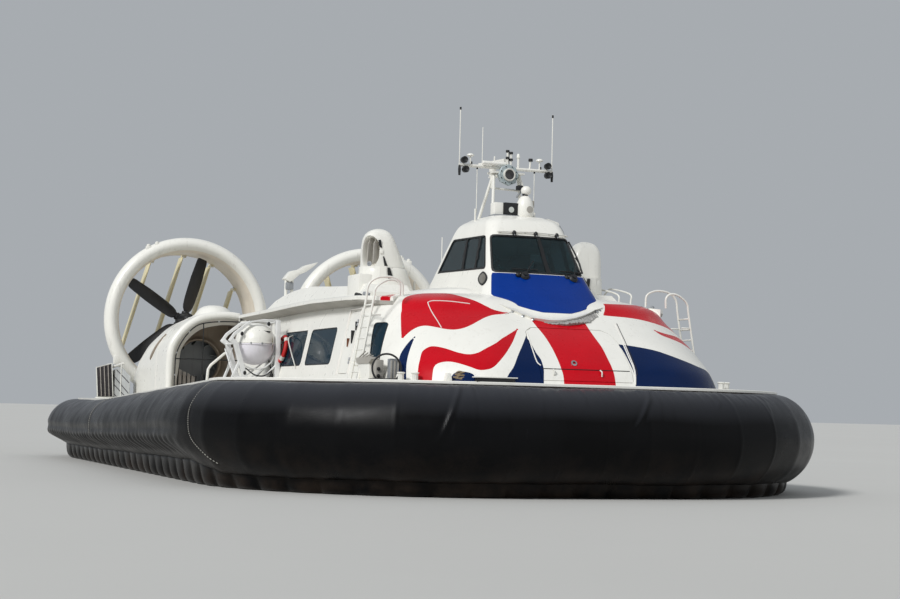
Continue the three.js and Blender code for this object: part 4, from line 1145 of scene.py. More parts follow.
def cab_chart():
    """Flat grid of the cab's surface: finer at the corners and over the roof."""
    half = list(np.arange(0, 1.0, 0.06)) + list(np.linspace(1.0, 1.4, 9)) + list(np.arange(1.48, 3.4, 0.08))
    half += list(np.linspace(3.4, 3.7, 7)) + [3.85, 4.0, 4.2, 4.45, 4.7]
    ts = list(np.arange(0, CAB_TOP, 0.055)) + [CAB_TOP + w for w in (0.0, 0.04, 0.12, 0.25, 0.45, 0.7, 1.0)]
    return chart_grid([-u for u in half[:0:-1]] + half, ts)


def cab_bars():
    """Fields of the bars that divide the side panes and the screen."""
    bars = []
    for side in (-1, 1):
        for top, bottom, wide in ((-2.38, -2.23, 0.045), (-1.6, -1.75, 0.035)):
            line = [(top - wide, 2.1), (top + wide, 2.1), (bottom + wide, 1.2), (bottom - wide, 1.2)]
            bars.append(shape_field([(-side * u, t) for u, t in line]))
        line = [(-1.69, 2.1), (-1.53, 2.1), (-1.6, 1.7), (-1.7, 1.7)]
        bars.append(shape_field([(-side * u, t) for u, t in line]))
    bars.append(shape_field([(0.16, 1.1), (0.27, 1.1), (0.25, 2.1), (0.15, 2.1)]))
    return bars


def cab_shell_of(faces, thick, out):
    """Shell of cab faces, which are put in a fixed order first."""
    def key(face):
        centre = face.calc_center_median()
        return round(centre.x, 4), centre.y
    return skin_shell(sorted(faces, key=key), thick, out, cab_point, cab_normal)


def build_cab():
    """Wall, frames, panes, nose panel and lamps, cut out of one chart of the cab."""
    bm = cab_chart()
    outlines = {"screen": SCREEN_OUT, "blue": BLUE_OUT, "starboard": SIDE_PANE, "port": mirrored(SIDE_PANE),
                "lamp_s": LAMP, "lamp_p": mirrored(LAMP)}
    cutters = {name: shape_field(points) for name, points in outlines.items()}
    rims = {name: grown(cutters[name], -PANE_RIM) for name in PANES}
    rims.update({name: grown(cutters[name], -LAMP_RIM) for name in LAMPS})
    bars = cab_bars()
    for field in list(cutters.values()) + list(rims.values()) + bars:
        cut_along(bm, field, cab_point)
    bm.verts.index_update()
    inside = {name: set(inside_faces(bm, field, cab_point)) for name, field in cutters.items()}
    inner = {name: set(inside_faces(bm, field, cab_point)) for name, field in rims.items()}
    barred = set()
    for field in bars:
        barred |= set(inside_faces(bm, field, cab_point))
    panes = {name: inner[name] - barred for name in PANES}
    frames = [f for name in PANES for f in inside[name] - panes[name]]
    lamps = inside["lamp_s"] | inside["lamp_p"]
    for f in frames + list(lamps):
        f.material_index = 1
    for f in inner["lamp_s"] | inner["lamp_p"]:
        f.material_index = 2
    cut_out = lamps | inside["blue"]
    for name in PANES:
        cut_out |= inside[name]
    shells = {"shell": cab_shell_of([f for f in bm.faces if f not in cut_out], 0.035, 0.0),
              "lamps": cab_shell_of(lamps, 0.06, 0.014), "frames": cab_shell_of(frames, 0.05, 0.006),
              "blue": cab_shell_of(inside["blue"], 0.035, 0.004)}
    shells.update({name: cab_shell_of(panes[name], PANE_THICK, -0.012) for name in PANES})
    bm.free()
    return shells


def lip_height(u):
    """Height of the cab's lip up the chart: lower to starboard, lifted over the fringe to port."""
    return (np.interp(np.abs(u), *np.array(LIP_EDGE).T) +
            np.interp(u, [-1.1, -0.5, -0.2, 0.1, 0.5, 0.8, 1.05], [0, -0.045, -0.045, 0, 0.07, 0.08, 0.02]))


def apron_flare():
    """Flared lower edge of the cab, which ends at the sides."""
    us = np.arange(-1.34, 1.3401, 0.04)
    ws = np.linspace(0, 1, 9)
    a = np.abs(us)
    low = lip_height(us)
    high = np.interp(a, *np.array(BLUE_EDGE + [(1.34, 0.86)]).T) - 0.02
    fade = 1 - ease(a, 1.15, 1.34)
    rings = []
    for u, lo, hi, k in zip(us, low, high, fade):
        t = hi + (lo - hi) * ws
        out = (0.004 + 0.085 * ws ** 1.7) * max(k, 0.05)
        p, n = cab_point(u, t), cab_normal(u, t)
        outer = p + n * out[:, None]
        inner = p - n * 0.03
        rings.append([Vector(q) for q in outer] + [Vector(q) for q in inner[::-1]])
    return loft(rings)


def apron_fringe():
    """Grey seal under the lip, its edge cut into uneven tips."""
    fringe = []
    for u in np.arange(-0.95, 1.15, 0.021):
        lo = float(lip_height(u))
        k = float(np.interp(u, [-0.95, -0.4, 0.1, 0.75, 1.15], [0.1, 0.45, 1.0, 1.0, 0.3]))
        hang = float(np.interp(u, [-0.95, -0.3, 0.0, 0.3, 0.5, 0.8, 1.15],
                               [0.01, 0.05, 0.11, 0.18, 0.23, 0.18, 0.06]))
        p, n = cab_point(u, lo), cab_normal(u, lo)
        drop = hang * (0.9 + 0.2 * RNG.random())
        edge = p + n * 0.05 * k
        foot = Vector(edge + n * (0.02 + 0.6 * drop + 0.05 * RNG.random()) * k) + Vector((0, 0, -drop))
        back = Vector(p + n * 0.3 * drop) + Vector((0, 0, -drop))
        fringe.append([Vector(edge), foot, back, Vector(p - n * 0.02)])
    return loft(fringe)


def build_apron():
    """Flare, fringe and the lashing hooks on them."""
    apron = Piece("cab_apron_lip", replaces=["cab_apron"])
    apron.put(apron_flare(), WHITE)
    apron.put(apron_fringe(), FRINGE)
    for u in (-0.84, -0.68, -0.53, 0.95, 1.02, 0.86):
        lo = float(lip_height(u)) - 0.03
        p, n = Vector(cab_point(u, lo)), Vector(cab_normal(u, lo))
        apron.put(lathe([(0.012, 0.0), (0.026, 0.0), (0.03, 0.012), (0.028, 0.09), (0.012, 0.1)],
                        p - n * 0.02, n, 12, True), ALLOY)
        apron.put(tube([p + n * 0.03 + Vector((0.05, 0, 0)), p + n * 0.05 + Vector((0.02, 0, -0.045)),
                        p + n * 0.05 + Vector((-0.03, 0, -0.045)), p + n * 0.03 + Vector((-0.045, 0, -0.01))],
                       0.009, 8, smooth=3), DARK)
    apron.done()


def on_cab(u, t, out=0.0):
    return Vector(cab_point(u, t) + cab_normal(u, t) * out)


def add_gutter_rail(kit):
    """Thin rail over the screen on its stays, with small fittings under it."""
    kit.put(tube([on_cab(u, 2.075 - 0.02 * abs(u), 0.035) for u in np.linspace(-1.05, 1.25, 18)], 0.014, 8),
            PIPE)
    for u in (-1.0, -0.2, 0.6, 1.2):
        kit.put(bar(on_cab(u, 2.07, -0.005), on_cab(u, 2.07, 0.036), 0.012, 8), PIPE)
    for u in (-0.56, 0.13, 0.84):
        p = on_cab(u, 2.04, 0.03)
        kit.put(ball(p, (0.042, 0.035, 0.05), 8, 12), DARK)
        kit.put(bar(p, on_cab(u, 1.98, 0.035), 0.014, 8), ALLOY)


def add_wipers(kit):
    """Wiper motors, arms and the rubber strips below them."""
    for u, lean in ((-0.43, 0.28), (0.82, 0.24)):
        base = on_cab(u, 1.10, 0.0)
        n = Vector(cab_normal(u, 1.10))
        kit.put(lathe([(0.0, -0.02), (0.085, -0.02), (0.09, 0.02), (0.07, 0.05), (0.045, 0.06),
                       (0.045, 0.085), (0.0, 0.088)], base, n, 20), DARK)
        kit.put(ball(base + Vector((-0.13, 0, 0.02)), (0.05, 0.05, 0.045), 8, 12), DARK)
        tip, blade = on_cab(u + lean, 1.42, 0.05), on_cab(u + lean * 0.4, 1.24, 0.05)
        kit.put(tube([base + n * 0.07, blade, tip], 0.011, 8, smooth=3), DARK)
        kit.put(tube([on_cab(u - 0.3, 1.235, 0.03), on_cab(u, 1.225, 0.034), on_cab(u + 0.34, 1.24, 0.03)],
                     0.013, 6, smooth=3), SEAL)


def build_cab_fittings():
    kit = Piece("cab_fittings")
    add_gutter_rail(kit)
    add_wipers(kit)
    for t0, t1 in ((1.25, 1.95), (1.32, 1.6)):
        kit.put(tube([on_cab(1.27, t0, 0.02), on_cab(1.29, (t0 + t1) / 2, 0.045), on_cab(1.3, t1, 0.02)],
                     0.016, 8, smooth=3), DARK)
    # Grey plate on the port roof shoulder: painted shade of the shoulder facet that faces away from the
    # light.
    kit.put(prism([(0.40, 4.6), (0.50, 5.10), (0.64, 5.15), (0.84, 4.96), (0.98, 4.84), (0.98, 4.6)], -6.72,
                  -6.60, "y", 0.02), GREY)
    kit.put(prism([(0.40, 4.5), (0.52, 5.12), (0.80, 5.17), (1.02, 5.11), (1.11, 4.95), (1.15, 4.80),
                   (1.0, 4.5)], -6.58,
                  -6.0, "y", 0.03), WHITE)
    # Thin grey plate on the port shoulder: painted shade of the same facet.
    kit.put(prism([(1.02, 4.55), (1.03, 5.06), (1.12, 4.93), (1.16, 4.8), (1.1, 4.55)], -6.60, -6.575, "y",
                  0.006), GREY)
    kit.done()


def build_cab_interior():
    """Floor, ceiling, instrument screens, levers and the wheel."""
    inside = Piece("cab_interior_trim", slot="dark_trim")
    inside.put(prism([(-0.9, -7.75), (0.9, -7.75), (1.05, -5.1), (-1.05, -5.1)], 3.60, 3.62, "z"), DARK)
    # The ceiling takes the shadow grey: painted shade of the cab's inside.
    inside.put(box((-0.62, -7.1, 4.985), (0.62, -5.8, 5.0)), SHADOW_GREY)
    for x in (-0.34, 0.34):
        inside.put(box((x - 0.17, -7.35, 4.06), (x + 0.17, -7.31, 4.24), 0.01), GLASS)
        inside.put(tube([(x, -7.2, 4.05), (x, -7.1, 4.16), (x, -7.04, 4.2)], 0.014, 8, smooth=3), DARK)
    inside.put(lathe([(0.15, -0.012), (0.165, 0), (0.15, 0.012), (0.135, 0)], (-0.34, -7.02, 4.2),
                     (0, -0.5, 0.86), 24, True), SEAL)
    inside.done()


LAMP_GREY = finish("side_lamp_lens", linear(116, 112, 102), 0.2, dark=0.7, patch=10, coat=0.4)
FRINGE = finish("fringe_grey", linear(176, 174, 170), 0.75, dark=0.55, patch=18, bump=0.4)
cab_shells = build_cab()
cab = shell_mesh("cab_shell", [cab_shells["shell"], cab_shells["lamps"]], [WHITE, SEAL, LAMP_GREY])
place("cab_shell", cab, "craft", ["cab", "cab_roof"])
place("cab_window_frames", shell_mesh("frames", one_look(cab_shells["frames"]), [SEAL]), "craft")
place("cab_nose_panel", shell_mesh("panel", one_look(cab_shells["blue"]), [BLUE]), "craft",
      ["cab_front_panel"])
place("cab_screen_panes", shell_mesh("screen", one_look(cab_shells["screen"]), [SCREEN]), "craft",
      ["windscreen"])
for side, _ in SIDES:
    place(f"cab_side_panes_{side}", shell_mesh("panes", one_look(cab_shells[side]), [SCREEN]), "craft",
          [f"cab_side_glass_{side}"])
build_apron()
build_cab_fittings()
build_cab_interior()


# Cabin roof, gutter and trim
def chart_height(z):
    """Chart height t of a level of the cabin."""
    return float(np.interp(z, BODY[:, 0], KNOTS))


def on_cabin(u, t, out=0.0):
    return Vector(skin_point(u, t) + skin_normal(u, t) * out)


GUTTER_RISE = np.array([(-8.2, 0.0), (-6.9, 0.07), (-5.1, 0.10), (-4.3, 0.115), (-3.0, 0.10), (-1.5, 0.07),
                        (1.2, 0.04)])


def gutter_rise(y):
    return float(np.interp(y, GUTTER_RISE[:, 0], GUTTER_RISE[:, 1]))


def patch_span(x, z):
    """Fore and aft limits of the red stripe that crosses the starboard roof edge aslant."""
    rise = z - 3.36 - 0.18 * (x + 3)
    return -8.28 - 2.1 * rise + 2.88 * (x + 3), -7.66 - 2.3 * rise + 2.88 * (x + 3)


def gutter_look(centre):
    fore, aft = patch_span(centre.x, centre.z)
    if centre.x < 0 and centre.z > 3.36 + 0.18 * (centre.x + 3) and fore < centre.y < aft:
        return RED
    # Faces under the overhang take the grey: painted shade of the overhang's underside.
    return GUTTER_SHADE_AND_FITTING_GREY if centre.z < 3.34 + gutter_rise(centre.y) else WHITE


def build_gutter():
    """Roof edge that overhangs the side walls and dies into the nose."""
    us = [BEND_END + SIDE - 0.01] + list(np.arange(BEND_END + SIDE - 0.3, BEND_END, -0.3))
    us += list(np.linspace(BEND_END, 3.36, 48))
    for side, s in SIDES:
        rings = []
        for u in us:
            k = float(ease(u, 3.35, 4.5))
            n = Vector(skin_normal(s * u, chart_height(3.3)))
            out = Vector((n.x, n.y, 0)).normalized()

            def at(z, o, u=s * u, out=out):
                return Vector(skin_point(u, chart_height(z))) + out * o
            base = at(3.30, 0)
            rise = gutter_rise(base.y)

            def edge(part, z, base=base, reach=out * (0.27 * k)):
                return Vector((*(base + reach * part)[:2], z))
            rings.append([at(3.27 + rise * 0.6, -0.02), edge(0.92, 3.27 + rise + 0.075 * k),
                          edge(1, 3.345 + rise), edge(1, 3.405 + rise), edge(0.9, 3.42 + rise),
                          at(3.46 + rise, 0.012), at(3.475 + rise * 0.8, -0.03), at(3.40, -0.05)])
        gutter = Piece(f"cabin_gutter_{side}")
        gutter.put(rounded(*loft(rings), 0.0), gutter_look)
        gutter.done()


def build_roof_cap():
    """Crowned skin of the roof, and the white rims at the cabin's back and foot."""
    us = np.linspace(0, BEND_END, 60)
    edge = skin_point(us, np.full(len(us), KNOTS[-1]))
    ys = list(np.linspace(edge[0, 1] + 0.004, edge[-1, 1], 26)) + list(np.linspace(edge[-1, 1], 1.19, 20))[1:]
    rings = []

    def half(y):
        return float(np.interp(y, edge[:, 1], edge[:, 0])) + 0.01

    def crown(x, y):
        swell = 0.155 * (0.5 + 0.5 * float(ease(abs(x), 0.7, 1.5)))
        return 3.578 + swell * (1 - min(abs(x) / half(y), 1) ** 8) * float(ease(y, ys[0], ys[0] + 0.5))

    across = np.linspace(-1, 1, 33)
    for y in ys:
        x = half(y)
        top = [Vector((x * a, y, crown(x * a, y))) for a in across]
        rings.append(top + [Vector((x * a, y, 3.545)) for a in across[::-1]])
    cap = Piece("cabin_roof_skin")
    cap.put(loft(rings), WHITE)
    rim = [(float(h), float(z)) for z, h in BODY[:, :2]]
    cap.put(prism([(-h, z) for h, z in rim] + [(h, z) for h, z in rim[::-1]], 1.13, 1.185, "y", 0.01), WHITE)
    for s in (-1, 1):
        cap.put(prism([(-6.5, 1.93), (-6.5, 1.90), (1.185, 1.5), (1.185, 1.93)], s * 3.235, s * 3.291, "x",
                      0.004), WHITE)
    cap.put(prism([(-3.27, 1.50), (3.27, 1.50), (3.27, 1.95), (-3.27, 1.95)], 1.13, 1.185, "y", 0.01), WHITE)
    cap.done()


def bead(points, radius, out=0.002, steps=6):
    """Thin raised line on the cabin skin through chart points."""
    curve = cubic([(u, t, 0) for u, t in points], steps=steps)
    return tube([on_cabin(p.x, p.y, out) for p in curve], radius, 6)


def build_nose_trim():
    """Raised lines, a painted shadow beside the port line, handles and a ring on the nose."""
    trim = Piece("nose_trim")
    for line in ([(-1.03, 1.26), (-1.0, 0.81), (-0.95, 0.47), (-0.88, 0.37)],
                 [(1.16, 1.02), (1.05, 0.66), (0.96, 0.27), (0.9, 0.05)]):
        trim.put(bead(line, 0.011), WHITE)
    for line in ([(-2.7, 2.15), (-2.61, 2.2), (-2.34, 2.19), (-2.0, 2.13)],
                 [(-2.7, 2.15), (-2.64, 1.77), (-2.57, 1.33)], [(1.49, 1.7), (1.18, 0.96), (0.96, 0.23),
                                                                (0.9, 0.04)], [(-1.42, 1.86), (-1.18, 1.95)]):
        trim.put(bead(line, 0.009, 0.003), PALE_LINE)
    # Dark bead beside the port pale line: painted shadow of that raised line.
    trim.put(bead([(1.53, 1.7), (1.22, 0.96), (1.0, 0.23)], 0.006, 0.002), DARK)
    trim.put(bead([(-0.87, 0.305), (0, 0.305), (0.87, 0.305)], 0.008, 0.001), SEAL)
    for x, z0, z1 in ((-0.65, 2.08, 2.17), (0.27, 2.07, 2.18)):
        t0, t1 = chart_height(z0), chart_height(z1)
        trim.put(tube([on_cabin(x, t0, 0.012), on_cabin(x, (t0 + t1) / 2, 0.05), on_cabin(x, t1, 0.012)],
                      0.012, 8, smooth=4), PIPE)
    trim.put(lathe([(0.03, 0), (0.055, 0.004), (0.055, 0.02), (0.03, 0.024)],
                   on_cabin(-0.21, chart_height(2.29)), (0, -0.85, 0.5), 20, True), ALLOY)
    trim.done()


def wall_x(z):
    """Half width of the cabin's side wall at a height."""
    return 3.29 - (z - 1.92) * 0.2166


def build_side_door_trim(side, mirror):
    """Hinges, handles and edge lines of a side door, on its leaf and on its frame."""
    leaf = Piece(f"side_door_trim_{side}", body=f"side_door_{side}", mirror=mirror)
    frame_part = Piece(f"side_door_frame_{side}", mirror=mirror)
    for z in (2.3, 3.0):
        x = -wall_x(z)
        leaf.put(bar((x - 0.022, -6.772, z + 0.005), (x - 0.009, -6.772, z + 0.06), 0.018), ALLOY)
        leaf.put(box((x - 0.02, -6.765, z + 0.012), (x + 0.004, -6.66, z + 0.05), 0.004), WHITE)
        frame_part.put(bar((x - 0.035, -6.772, z - 0.06), (x - 0.022, -6.772, z - 0.005), 0.018), ALLOY)
        frame_part.put(box((x - 0.02, -6.88, z - 0.05), (x + 0.012, -6.78, z - 0.012), 0.004), WHITE)
    for y, z0, z1 in ((-6.44, 2.56, 2.72), (-6.64, 2.62, 2.86), (-6.72, 2.86, 3.02)):
        leaf.put(box((-wall_x(z0) - 0.022, y - 0.014, z0), (-wall_x(z1), y + 0.012, z1), 0.008),
                 BRONZE if y > -6.5 else DARK)
    for y0, z0, y1, z1 in ((-6.82, 2.05, -6.82, 3.27), (-6.14, 2.05, -6.14, 3.27),
                           (-6.82, 3.27, -6.14, 3.27)):
        frame_part.put(tube([(-wall_x(z0) - 0.004, y0, z0), (-wall_x(z1) - 0.004, y1, z1)], 0.016, 8),
                       PALE_LINE)
    leaf.done()
    frame_part.done()


# Grey used as painted shade under the roof's overhanging edge, and as the own grey of the locker and
# searchlight fittings.
GUTTER_SHADE_AND_FITTING_GREY = finish("gutter_shade_and_fitting_grey", linear(168, 164, 156), 0.55, dark=0.8, patch=1.5, grime=GRIME,
                     streak=0.5)
PALE_LINE = finish("pale_line", linear(236, 232, 226), 0.45, dark=0.86, patch=6)
BRONZE = finish("door_handle", linear(120, 74, 52), 0.45, 0.3, dark=0.7, patch=8)
build_gutter()
build_roof_cap()
build_nose_trim()
on_both(build_side_door_trim)


# Ducts, propellers and rudders
DUCT_X, DUCT_Z = 2.575, 3.67
RING = outline([(1.815, 9.38), (1.855, 9.16), (1.945, 9.02), (2.06, 8.98), (2.165, 9.04), (2.22, 9.19),
                (2.185, 9.42), (2.035, 9.85), (1.885, 10.2, C), (1.815, 10.2, C)], 6)
CANT = math.radians(16)
RUDDER_OFFSETS = (-1.26, -0.42, 0.42, 1.26)


def duct_look(centre):
    """Weathered paint in the bore, white outside."""
    radius = math.hypot(centre.x + DUCT_X, centre.z - DUCT_Z)
    return DUCT_INNER if radius < 1.9 and centre.y > 9.1 else DUCT_WHITE


def build_duct(side, mirror):
    """Duct ring with its hub fairing, foot, rudder bearings and lamps."""
    duct = Piece(f"duct_ring_{side}", mirror=mirror, replaces=[f"duct_{side}"])
    centre = Vector((-DUCT_X, 0, DUCT_Z))
    duct.put(lathe(RING, centre, AFT, 112, True), duct_look)
    duct.put(lathe([(0.0, 8.90), (0.09, 8.91), (0.15, 8.97), (0.178, 9.06), (0.185, 9.2), (0.185, 9.47),
                    (0.0, 9.475)],
                   centre, AFT, 32), DARK)
    foot = []
    for z in np.linspace(-2.15, -0.12, 9):
        w = 0.15 - 0.075 * (z + 2.15) / 2.15
        foot.append([centre + Vector((w * math.cos(a), 9.18 + 0.22 * math.sin(a), z))
                     for a in turns(20)])
    duct.put(loft(foot), WHITE)
    for offset in RUDDER_OFFSETS:
        mid = -offset * math.sin(CANT)
        x, z = offset + mid * math.sin(CANT), mid * math.cos(CANT)
        reach = math.sqrt(1.79 ** 2 - (offset * math.cos(CANT)) ** 2)
        turn = Matrix.Translation(centre + Vector((x, 0, z))) @ Matrix.Rotation(CANT, 4, "Y")
        for end in (-1, 1):
            tip = end * (reach + 0.03)
            duct.put(box((-0.035, 10.05, tip - 0.03), (0.035, 10.51, tip + 0.03), 0.012), CREAM, turn)
            duct.put(box((-0.055, 10.16, tip - 0.06), (0.055, 10.21, tip + 0.06), 0.01), WHITE, turn)
    for x, z in ((-3.70, 5.60), (-3.47, 5.68)):
        duct.put(box((x - 0.07, 9.05, z - 0.11), (x + 0.07, 9.19, z), 0.02), WHITE)
        duct.put(lathe([(0.0, 0.0), (0.05, 0.0), (0.055, 0.05), (0.03, 0.075), (0.0, 0.08)],
                       (x, 9.12, z - 0.02), UP, 16), PIPE)
    duct.put(box((-4.53, 9.02, 2.42), (-4.33, 9.2, 2.66), 0.03), WHITE)
    duct.put(lathe([(0.0, 0.0), (0.035, 0.0), (0.04, 0.06), (0.0, 0.08)], (-4.44, 9.1, 2.64), UP, 14), PIPE)
    duct.done()


def blade_section(chord, thick, twist, along, count=14):
    """Aerofoil section of a blade that stands on +Z."""
    points = []
    for k in range(count):
        a = 2 * math.pi * k / count
        x = chord / 2 * math.cos(a)
        y = thick / 2 * math.sin(a) * (0.55 + 0.45 * math.cos(a / 2) ** 2)
        points.append(Vector((x * math.cos(twist) - y * math.sin(twist),
                              x * math.sin(twist) + y * math.cos(twist), along)))
    return points


PORT_PROP_TURN = 18
# Stations of a blade: radius, chord, thickness, twist in degrees.
BLADE_STATIONS = [
    (0.10, 0.15, 0.15, 42), (0.24, 0.15, 0.14, 42), (0.28, 0.26, 0.11, 42), (0.33, 0.38, 0.085, 41),
    (0.42, 0.45, 0.07, 40), (0.6, 0.47, 0.058, 37), (0.9, 0.45, 0.044, 32), (1.2, 0.42, 0.034, 27),
    (1.5, 0.37, 0.024, 24), (1.68, 0.34, 0.018, 22), (1.745, 0.31, 0.014, 22), (1.77, 0.24, 0.008, 22)]


def build_propeller(side, mirror):
    """Five-blade propeller on a bolted hub."""
    prop = Piece(f"propeller_blades_{side}", slot="blade_composite", body=f"propeller_{side}", mirror=mirror,
                 replaces=[f"propeller_{side}"], crease=45)
    hub = Matrix.Translation((-DUCT_X, 9.65, DUCT_Z))
    if mirror:
        hub = hub @ Matrix.Rotation(math.radians(-PORT_PROP_TURN), 4, "Y")
    prop.put(lathe([(0.0, 0.15), (0.12, 0.148), (0.19, 0.12), (0.212, 0.05), (0.212, -0.05), (0.19, -0.11),
                    (0.12, -0.13), (0.118, -0.164), (0.0, -0.164)], (0, 0, 0), AFT, 36), DARK, hub)
    for k in range(10):
        a = math.radians(18 + 36 * k)
        x, z = 0.15 * math.sin(a), 0.15 * math.cos(a)
        prop.put(bar((x, -0.10, z), (x, -0.125, z), 0.014, 8), ALLOY, hub)
    blade = loft([blade_section(chord, thick, math.radians(twist), r) for r, chord, thick,
                  twist in BLADE_STATIONS])
    for k in range(5):
        turn = hub @ Matrix.Rotation(math.radians(16 - 72 * k), 4, "Y")
        prop.put(blade, BLADE, turn)
        prop.put(lathe([(0.085, 0.19), (0.105, 0.2), (0.11, 0.225), (0.1, 0.25), (0.082, 0.255)], (0, 0, 0),
                       UP, 24, True), DARK, turn)
    prop.done()


DUCT_WHITE = finish("duct_white", WHITE_COLOUR, 0.34, coat=0.2, dark=0.92, grime=linear(120, 104, 92),
                    streak=0.42, bump=0.08)
DUCT_INNER = finish("duct_bore", linear(232, 222, 206), 0.42, dark=0.9, grime=linear(150, 132, 110),
                    streak=0.35)
on_both(build_duct)
on_both(build_propeller)


# Lift fan housings
FAN_X, FAN_Z = 3.43, 2.45
HOUSING = outline([(-2.66, 1.42, C), (-2.66, 3.60, C), (-2.93, 3.63), (-3.35, 3.60), (-3.70, 3.50),
                   (-4.06, 3.24), (-4.33, 2.86), (-4.40, 2.45), (-4.40, 2.0), (-4.385, 1.42, C)], 6)
ANGLES = turns(96)
FAN_LENGTH = np.array([3.15, 3.6, 4.3, 5.3, 6.0, 6.6, 7.25, 7.8, 8.0])
FAN_CREST = np.array([3.60, 3.60, 3.57, 3.51, 3.36, 3.06, 2.50, 1.92, 1.60])


def cast(polygon, centre):
    """Points where rays at ANGLES from the centre leave a closed polygon."""
    ring = np.array(polygon) - centre
    out = []
    for a in ANGLES:
        d = np.array([math.cos(a), math.sin(a)])
        best = 0.0
        for p, q in zip(ring, np.roll(ring, -1, 0)):
            e = q - p
            det = d[0] * -e[1] + d[1] * e[0]
            if abs(det) < 1e-12:
                continue
            t, w = (p[0] * -e[1] + p[1] * e[0]) / det, (d[0] * p[1] - d[1] * p[0]) / det
            if t > best and -1e-9 <= w <= 1 + 1e-9:
                best = t
        out.append(centre + d * best)
    return np.array(out)


def housing_ring(y, inset=0.0, shrink=0.0):
    """Section of the housing at y; inset draws it inwards, shrink lowers its crest."""
    crest = float(np.interp(y, FAN_LENGTH, FAN_CREST)) - shrink
    k = (crest - 1.42) / (3.60 - 1.42)
    taper = 1 - 0.10 * float(ease(y, 6.8, 8.0))
    centre = np.array([-FAN_X, 1.42 + (FAN_Z - 1.42) * k])
    points = [(-2.66 + (x + 2.66) * taper, 1.42 + (z - 1.42) * k) for x, z in HOUSING]
    ring = cast(points, centre)
    if inset:
        inner = np.array([(max(min(x, -2.66 - min(inset, 0.05)), -9), z) for x, z in ring])
        away = inner - centre
        size = np.linalg.norm(away, axis=1)
        ring = centre + away * ((size - inset) / size)[:, None]
        ring[:, 0] = np.where(inner[:, 0] > -2.72, -2.66 - min(inset, 0.05), ring[:, 0])
        ring[:, 1] = np.where(inner[:, 1] < 1.46, inner[:, 1], ring[:, 1])
    return [Vector((x, y, z)) for x, z in ring]


def circle_ring(y, radius):
    return [Vector((-FAN_X + radius * math.cos(a), y, FAN_Z + radius * math.sin(a))) for a in ANGLES]


def housing_skin():
    """Outer skin from the back forward, round the intake lip, then the throat; and the look of each face."""
    rings, looks = [], []

    def add(ring, look):
        rings.append(ring)
        looks.append(look)

    add(housing_ring(8.0, 0.0, 0.1), WHITE)
    for y in (7.99, 7.93, 7.8, 7.5, 7.1, 6.6, 6.0, 5.3, 4.6, 4.0, 3.6, 3.32):
        add(housing_ring(y), WHITE)
    for k in range(1, 8):
        a = math.pi / 2 * k / 7
        add(housing_ring(3.27 - 0.085 * math.sin(a), 0.09 * (1 - math.cos(a))), WHITE)
    for k in range(1, 7):
        a = math.pi / 2 * k / 6
        add(housing_ring(3.185 + 0.06 * (1 - math.cos(a)), 0.09 + 0.085 * math.sin(a)), WHITE)
    # From the lip inwards the throat and the fan disc take the shadow grey, partly painted shade of the
    # intake's inside.
    for y, inset, look in ((3.25, 0.178, WHITE), (3.265, 0.20, LIP_GREY), (3.40, 0.345, LIP_GREY),
                           (3.42, 0.355, SEAL), (3.44, 0.355, SHADOW_GREY), (3.46, 0.20, SHADOW_GREY),
                           (4.19, 0.14, SHADOW_GREY)):
        add(housing_ring(y, inset), look)
    for y, r in ((4.2, 0.66), (4.16, 0.585), (4.11, 0.56), (4.085, 0.535), (4.09, 0.512), (4.13, 0.5),
                 (4.25, 0.5), (4.27, 0.56), (4.3, 0.76), (4.98, 0.76), (4.985, 0.3)):
        add(circle_ring(y, r), SHADOW_GREY)
    return loft(rings), [look for look in looks[1:] for _ in ANGLES] + [WHITE, SHADOW_GREY]


def add_dome(housing):
    """Domed fairing on the crest of the housing."""
    flare = [(0.62, 0.0), (0.53, 0.03), (0.46, 0.085), (0.41, 0.16), (0.345, 0.235), (0.25, 0.29),
             (0.13, 0.32), (0, 0.325)]
    verts, faces = lathe(flare, (0, 0, 0), UP, 48)
    faces.append(tuple(i * len(flare) for i in range(48))[::-1])
    seat = Matrix.Translation((-3.15, 3.88, 3.475)) @ Matrix.Rotation(math.radians(3), 4, "X")
    housing.put((verts, faces), WHITE, seat)


def add_flank_slot(housing):
    """Dark strip aslant on the flank, a painted shade of a slot, and a pale line round the housing ahead of
    it.
    """
    slot = [(4.33, 3.06, 0.02), (4.45, 2.95, 0.055), (4.6, 2.82, 0.07), (4.75, 2.70, 0.07),
            (4.92, 2.59, 0.06), (5.05, 2.51, 0.04)]
    vent = []
    for y, z, half in slot:
        ring = np.array([(p.x, p.z) for p in housing_ring(y)])
        outer = ring[ring[:, 0] < -3.3]
        outer = outer[np.argsort(outer[:, 1])]

        def on(zz, lift, outer=outer, y=y):
            return Vector((float(np.interp(zz, outer[:, 1], outer[:, 0])) - lift, y, zz + lift))
        vent.append([on(z - half, 0.018), on(z - half * 0.3, 0.02), on(z + half * 0.3, 0.02),
                     on(z + half, 0.018), on(z + half, -0.02), on(z - half, -0.02)])
    # The strip sits on the skin in the shadow grey: painted shade of a recessed slot.
    housing.put(loft(vent), SHADOW_GREY)
    housing.put(tube([p for p in housing_ring(4.35) if p.z > 1.5 and p.x < -2.75], 0.006, 6), PALE_LINE)


